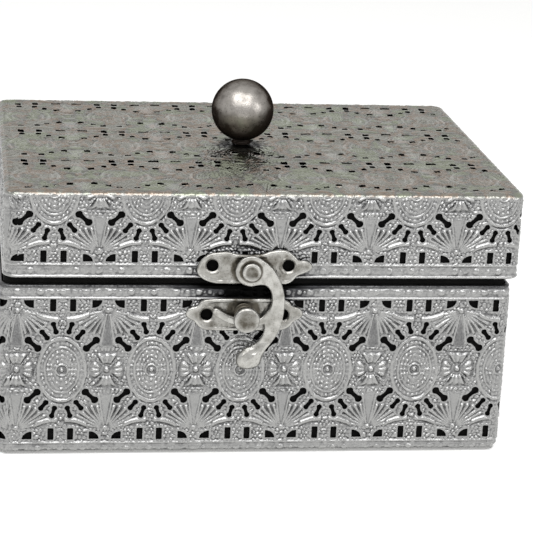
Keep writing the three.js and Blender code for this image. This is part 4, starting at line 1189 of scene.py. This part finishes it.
# Knob, with its collar, washer and nut
knob = {
    "x": 0.7, "radius": 11.3, "centre": 107.3, "shank": 2.0, "shankEnd": 80.6,
    "paintedHighlight": (-0.15, 0.85, 0.5),  # painted highlight: lighter facing front, back and up, a little to the left
    "collarPaintedShade": 1.4,  # painted shade under the ball
    "nut": (81.6, 84.4), "nutHalf": 3.44, "bore": 2.3,
}
collarProfile = [
    (2.3, 94.9), (3.45, 94.9), (3.6, 95.05), (3.6, 95.35), (3.45, 95.5), (3.2, 95.65), (3.1, 95.85),
    (3.15, 96.05), (3.25, 96.2), (3.2, 96.35), (3.0, 96.4), (2.3, 96.4), (2.3, 94.9),
]
washerProfile = [
    (2.3, 84.7), (4.85, 84.7), (5.0, 84.85), (5.0, 85.55), (4.85, 85.7), (2.3, 85.7), (2.3, 84.7),
]


def buildKnob():
    look = knob
    start = math.degrees(math.asin(look["shank"] / look["radius"])) - 90
    ball = arc(0, look["centre"], look["radius"], start, 90, 60)
    bottom = look["shankEnd"]
    profile = [(0, bottom), (1.7, bottom), (look["shank"], bottom + 0.35)] + ball[:-1] + [(0, ball[-1][1])]
    piece = turnedPiece("knob_ball", profile, 96, upright(look["x"]), pewter)
    spots = np.empty(len(piece.data.vertices) * 3, dtype=np.float32)
    piece.data.vertices.foreach_get("co", spots)
    spots = (spots.reshape(-1, 3) / mm - (look["x"], 0, look["centre"])) / look["radius"]
    # Painted highlight and shade: rubbed measures how far a point faces the painted highlight; the ball is
    # lighter there and darker underneath, as painted shade
    highlightX, highlightY, highlightZ = look["paintedHighlight"]
    rubbed = np.abs(spots[:, 1]) * highlightY + spots[:, 0] * highlightX + spots[:, 2] * highlightZ
    dark = 0.9 - 0.95 * eased(rubbed, 0.3, 0.95) + 0.5 * eased(-spots[:, 2], 0.55, 0.95)
    piece.data.attributes["hollow"].data.foreach_set("value", dark.astype(np.float32))
    finishPiece(piece, "lid", "knob_pewter", "knob")

    profile = [(radius, z, look["collarPaintedShade"]) for radius, z in collarProfile]
    piece = turnedPiece("knob_collar_turned", profile, 64, upright(look["x"]), pewter)
    finishPiece(piece, "lid", "knob_pewter", "knob_collar")
    piece = turnedPiece("knob_washer_turned", washerProfile, 48, upright(look["x"]), steel)
    finishPiece(piece, "lid", "steel", "knob_washer")

    def nutDistance(u, v):
        angle = np.arctan2(v, u - look["x"])
        folded = (angle + math.pi / 6) % (math.pi / 3) - math.pi / 6
        radius = np.hypot(u - look["x"], v)
        return np.minimum(look["nutHalf"] - radius * np.cos(folded), radius - look["bore"])

    def chamfer(u, v):
        return 0.5 * np.clip(np.hypot(u - look["x"], v) - 3.3, 0, 1)

    low, high = look["nut"]
    nut = platePiece("knob_nut_chamfered", nutDistance, (look["x"] - 4, look["x"] + 4, -4, 4), 0.16,
                     lambda u, v, d: high - chamfer(u, v), lambda u, v, d: low + chamfer(u, v),
                     upright(), steel)
    finishPiece(nut, "lid", "steel", "knob_nut")


buildKnob()
print("knob made")


# Hinges: a leaf is cut from plate and its knuckles are rolled round the pin
hinge = {
    "places": {"left": -49.068, "right": 50.968}, "length": 22.0, "drop": 12.0, "axisY": 68.8, "axisZ": 63.15,
    "plateBack": 66.8, "thickness": 1.2, "corner": 1.6, "knuckle": 2.0, "pin": 0.8, "gap": 2.45, "seat": 0.3,
    "count": 5, "screwAcross": 6.16, "screwDrop": 8.0, "screwHole": 1.15, "screwHead": 1.8, "slot": 0.34,
    "screwTurns": [0.4, 1.1, 2.3, 1.7, 0.2, 2.8, 1.4, 0.9],  # radians, no two slots alike
}


def hingeLeaf(name, x, upward, own):
    look = hinge
    pitch = (look["length"] + look["seat"]) / look["count"]
    left, right = -look["length"] / 2, look["length"] / 2
    low, high, corner = look["gap"], look["drop"], look["corner"]
    outline = [(left, low)]
    for number in own:  # tongues that roll into knuckles
        start, end = left + number * pitch, left + number * pitch + pitch - look["seat"]
        outline += [(start, low), (start, 0.2), (end, 0.2), (end, low)]
    outline += [(right, low), (right, high - corner)]
    outline += arc(right - corner, high - corner, corner, 0, 90, 6)[1:]
    outline += arc(left + corner, high - corner, corner, 90, 180, 6)
    outline = [point for place, point in enumerate(outline) if place == 0 or point != outline[place - 1]]
    edge = outlineDistance(outline)

    def distance(u, v):
        d = edge(u, v)
        for side in (-1, 1):
            out = np.hypot(u - side * look["screwAcross"], v - look["screwDrop"])
            d = np.minimum(d, out - look["screwHole"])
        return d

    back, front = look["plateBack"], look["plateBack"] + look["thickness"]

    def place(u, v, w):
        return np.stack([x + u * -upward, w, look["axisZ"] + upward * v], 1)

    def top(u, v, d):
        return front - bevelled(d, 0.3) + 0.02 * grainNoise(u, v, 2.3) - 0.03

    pieces = [platePiece(name, distance, (left, right, 0, high), 0.22, top,
                         lambda u, v, d: np.full(u.shape, back), place, nickel)]
    bore, outer = look["pin"] + look["seat"], look["knuckle"]
    for number in own:
        start = left + number * pitch
        end = start + pitch - look["seat"]
        tube = [(bore, start, 0.4), (outer - 0.25, start, 0.3), (outer, start + 0.25, 0),
                (outer, end - 0.25, 0), (outer - 0.25, end, 0.3), (bore, end, 0.4), (bore, start, 0.4)]
        tube = [(radius, along * -upward, shade) for radius, along, shade in tube]
        pieces.append(turnedPiece("knuckle", tube, 36, sideways(x, look["axisY"], look["axisZ"]), nickel))
    return joined(name, pieces)


def slottedScrew(name, x, z, turn):
    look = hinge
    head, back = look["screwHead"], look["plateBack"] + look["thickness"] + 0.15

    def inSlot(u, v, halfWidth):
        across = np.abs(u * math.cos(turn) + v * math.sin(turn))
        return np.clip((halfWidth - across) / 0.12, 0, 1)

    def top(u, v, d):
        dome = back + 0.3 + 0.72 * np.sqrt(np.clip(1 - (np.hypot(u, v) / (head + 0.15)) ** 2, 0, 1))
        return dome - inSlot(u, v, look["slot"]) * np.clip(dome - back - 0.35, 0, 1)

    headPiece = platePiece(name, lambda u, v: head - np.hypot(u, v), (-head, head, -head, head), 0.1, top,
                           lambda u, v, d: np.full(u.shape, back), backward(x, z), steel,
                           lambda u, v, d: 0.9 * inSlot(u, v, look["slot"] + 0.02))
    shank = [(0, back), (0.9, back), (0.9, back - 3.4), (0.6, back - 4.2), (0, back - 5.0)]
    return joined(name, [headPiece, turnedPiece("shank", shank, 20, backward(x, z), steel)])


def buildHinges():
    look = hinge
    turns = list(look["screwTurns"])
    end = look["length"] / 2 + 0.3
    shank = [(look["pin"], -end), (look["pin"], end)]
    head = [(1.45, end), (1.5, end + 0.35), (1.25, end + 0.7), (look["pin"], end + 0.88), (0, end + 0.9)]
    pin = [(radius, -along) for radius, along in head[::-1]] + shank + head
    for side, x in look["places"].items():
        for body, upward, own in [("base", -1, [0, 2, 4]), ("lid", 1, [1, 3])]:
            node = f"hinge_{side}_{body}_leaf"
            finishPiece(hingeLeaf(node + "_rolled", x, upward, own), body, "nickel", node)
        axis = sideways(x, look["axisY"], look["axisZ"])
        piece = turnedPiece(f"hinge_{side}_pin_headed", pin, 32, axis, steel)
        finishPiece(piece, "base", "steel", f"hinge_{side}_pin")
        for body, upward, first in [("base", -1, 1), ("lid", 1, 3)]:
            for place, way in enumerate((-1, 1)):
                node = f"hinge_{side}_screw_{first + place}"
                screwX, screwZ = x + way * look["screwAcross"], look["axisZ"] + upward * look["screwDrop"]
                finishPiece(slottedScrew(node + "_slotted", screwX, screwZ, turns.pop()), body, "steel", node)


buildHinges()
print("hinges made")


# Velvet: panels of covered card against the boards, two thin pads and the cover of the underside
lining = {
    "inset": 7.1, "thickness": 1.2, "seat": 0.3, "baseHeights": (5.1, 63.0), "lidHeights": (65.3, 85.7),
    "edge": 0.5, "panelCell": 3.0,
    "padInset": 8.6, "floorPad": (5.1, 7.6), "lidPad": (88.5, 86.0),  # height of the back, of the crown
    "padEdge": 1.2, "padCrown": 26.0, "padPull": 0.5, "padCell": 1.5, "nutDip": 5.0,
    "coverInset": 3.3, "cover": (1.5, 0.0),
}


def edgedSteps(low, high, cell, edge):  # close steps beside both ends, even ones between
    near = np.array([0, 0.12, 0.3, 0.6, 1.0]) * edge
    middle = np.linspace(low + 1.6 * edge, high - 1.6 * edge, max(int((high - low) / cell), 4))
    return np.concatenate([low + near, middle, high - near[::-1]])


# A closed cushion from low, its back, to high: crowned there, rounded at its edges, its sides pulled in
# between corners, and pressed down round a hole if it has one
def cushionPiece(name, limits, low, high, roundness, place, material, cell, crown=0.0, pull=0.0, hole=None):
    left, right, down, upper = limits
    columns, rows = edgedSteps(left, right, cell, roundness), edgedSteps(down, upper, cell, roundness)
    u, v = np.meshgrid(columns, rows)
    d = np.minimum(np.minimum(u - left, right - u), np.minimum(v - down, upper - v))
    rise = np.sqrt(np.clip(1 - (1 - np.clip(d / roundness, 0, 1)) ** 2, 0, 1))
    far = np.clip(d / max(crown, roundness), 0, 1)
    fullness = 0.72 + 0.28 * np.sin(far * math.pi / 2) if crown else 1.0
    lump = 1 + 0.03 * grainNoise(u, v, 37.0) * far
    middle = low + (high - low) * 0.45
    top = middle + (high - middle) * rise * np.minimum(fullness * lump, 1.0)
    bottom = middle + (low - middle) * rise
    if hole is not None:
        holeU, holeV, radius = hole
        dip = np.clip((np.hypot(u - holeU, v - holeV) - radius) / 2.5, 0, 1) ** 0.5
        top = bottom + (top - bottom) * (0.5 + 0.5 * dip)
    su = (u - (left + right) / 2) / ((right - left) / 2)
    sv = (v - (down + upper) / 2) / ((upper - down) / 2)
    u = u - pull * su * (1 - sv ** 2)
    v = v - pull * sv * (1 - su ** 2)
    index = np.arange(u.size).reshape(u.shape)
    corners = [index[:-1, :-1], index[:-1, 1:], index[1:, 1:], index[1:, :-1]]
    quads = np.stack([corner.ravel() for corner in corners], 1)
    points = np.concatenate([place(u.ravel(), v.ravel(), w.ravel()) for w in (top, bottom)])
    piece = meshPiece(name, points, np.concatenate([quads, quads[:, ::-1] + u.size]), material)
    cleanMesh(piece.data)
    return piece


def liningPanel(part, number, heights, shift):
    look = lining
    isFlat = number % 2 == 0
    out = (box["front"] if isFlat else box["side"]) - look["inset"]
    reach = (box["side"] if isFlat else box["front"]) - look["inset"]
    if not isFlat:  # the end panels stand between the front and back ones
        reach = reach - look["thickness"] - look["seat"]
    turn = number * math.pi / 2
    cos, sin = round(math.cos(turn)), round(math.sin(turn))

    def place(u, v, w):
        return np.stack([u * cos + w * sin + shift, u * sin - w * cos, v], 1)

    node = f"{part}_{faceNames[number]}_lining"
    piece = cushionPiece(node + "_covered", (-reach, reach, *heights), out, out - look["thickness"],
                         look["edge"], place, velvet, look["panelCell"])
    finishPiece(piece, part, "velvet", node)


def buildLinings():
    look = lining
    for number in range(4):
        liningPanel("base", number, look["baseHeights"], 0.0)
    for number in range(4):
        liningPanel("lid", number, look["lidHeights"], box["lidShift"])

    def flatLimits(inset):
        reachX, reachY = box["side"] - inset, box["front"] - inset
        return -reachX, reachX, -reachY, reachY

    padForm = {"crown": look["padCrown"], "pull": look["padPull"]}
    pad = cushionPiece("base_floor_pad_stuffed", flatLimits(look["padInset"]), *look["floorPad"],
                       look["padEdge"], upright(), velvet, look["padCell"], **padForm)
    finishPiece(pad, "base", "velvet", "base_floor_pad")
    pad = cushionPiece("lid_top_pad_stuffed", flatLimits(look["padInset"]), *look["lidPad"], look["padEdge"],
                       upright(box["lidShift"]), velvet, look["padCell"],
                       hole=(topSheet["knobX"], 0.0, look["nutDip"]), **padForm)
    finishPiece(pad, "lid", "velvet", "lid_top_pad")
    cover = cushionPiece("base_bottom_cover_glued", flatLimits(look["coverInset"]), *look["cover"],
                         look["edge"], upright(), velvet, look["panelCell"])
    finishPiece(cover, "base", "velvet", "base_bottom_cover")


buildLinings()
print("linings made")

for name, node in nodes.items():
    if name.endswith("_board"):
        node.data.materials.clear()
        node.data.materials.append(paintedBoard)


# Floor, light and camera
studio = {
    "floor": "#f2f2f0", "floorReach": 6000, "floorGlow": 0.45, "room": 0.45,
    "camera": (-101.713, -715.246, 279.894), "turn": (1.28238, -0.04542, -0.12729),
    "lens": 137.486, "sensor": 36.0, "shift": (0.06, -0.09),
}
lamps = [
    # name, place, aim, width, height, watts (mm)
    ("overhead_softbox", (-120, -480, 760), (0, 0, 50), 1000, 640, 7.2),
    ("fill_softbox", (620, -520, 380), (0, 0, 50), 300, 300, 1.0),
]


def seenDirectly(tree):  # by the camera, in metal or through glass
    path = addNode(tree, "LightPath")
    seen = addNode(tree, "Math", {"operation": "MAXIMUM"},
                   {0: path.outputs["Is Camera Ray"], 1: path.outputs["Is Glossy Ray"]})
    seen = addNode(tree, "Math", {"operation": "MAXIMUM"},
                   {0: seen.outputs[0], 1: path.outputs["Is Transmission Ray"]})
    return seen.outputs[0]


def buildFloor():  # matt white paper that glows a little where it is seen, so it keeps the box's shadow
    look = studio
    mesh = bpy.data.meshes.new("floor")
    reach = look["floorReach"] * mm
    corners = [(-reach, -reach, 0), (reach, -reach, 0), (reach, reach, 0), (-reach, reach, 0)]
    mesh.from_pydata(corners, [], [(0, 1, 2, 3)])
    floor = bpy.data.objects.new("floor", mesh)
    scene.collection.objects.link(floor)
    material, tree, shader = newMaterial("white_paper_floor")[:3]
    dressShader(tree, shader, {}, {"Base Color": linear(look["floor"]), "Roughness": 0.9,
                                   "Specular IOR Level": 0.1})
    output = next(node for node in tree.nodes if node.type == "OUTPUT_MATERIAL")
    strength = addNode(tree, "Math", {"operation": "MULTIPLY", 1: look["floorGlow"]}, {0: seenDirectly(tree)})
    glow = addNode(tree, "Emission", {"Color": (1, 1, 1, 1)}, {"Strength": strength.outputs[0]})
    total = addNode(tree, "AddShader", links={0: shader.outputs[0], 1: glow.outputs[0]})
    tree.links.new(total.outputs[0], output.inputs["Surface"])
    mesh.materials.append(material)


def buildRoom():  # an even grey room that is white where it is seen
    world = bpy.data.worlds.new("studio")
    scene.world = world
    world.use_nodes = True
    tree = world.node_tree
    tree.nodes.clear()
    seen = seenDirectly(tree)
    room = addNode(tree, "Background", {"Color": (1, 1, 1, 1), "Strength": studio["room"]})
    white = addNode(tree, "Background", {"Color": (1, 1, 1, 1), "Strength": 1.0})
    mix = addNode(tree, "MixShader", links={0: seen, 1: room.outputs[0], 2: white.outputs[0]})
    addNode(tree, "OutputWorld", links={"Surface": mix.outputs[0]})


def buildLamps():
    for name, place, aim, width, height, watts in lamps:
        light = bpy.data.lights.new(name, "AREA")
        light.shape = "RECTANGLE"
        light.size, light.size_y, light.energy = width * mm, height * mm, watts
        lamp = bpy.data.objects.new(name, light)
        lamp.location = [value * mm for value in place]
        lamp.rotation_euler = (Vector(aim) - Vector(place)).to_track_quat("-Z", "Y").to_euler()
        scene.collection.objects.link(lamp)


def buildCamera():
    look = studio
    data = bpy.data.cameras.new("camera")
    data.sensor_width = look["sensor"]
    data.lens = look["lens"]
    data.shift_x, data.shift_y = look["shift"]
    data.clip_start, data.clip_end = 0.05, 50.0
    camera = bpy.data.objects.new("camera", data)
    camera.location = [value * mm for value in look["camera"]]
    camera.rotation_euler = look["turn"]
    scene.collection.objects.link(camera)
    scene.camera = camera


buildFloor()
buildRoom()
buildLamps()
buildCamera()
scene.view_settings.view_transform = "Standard"
print("studio made")
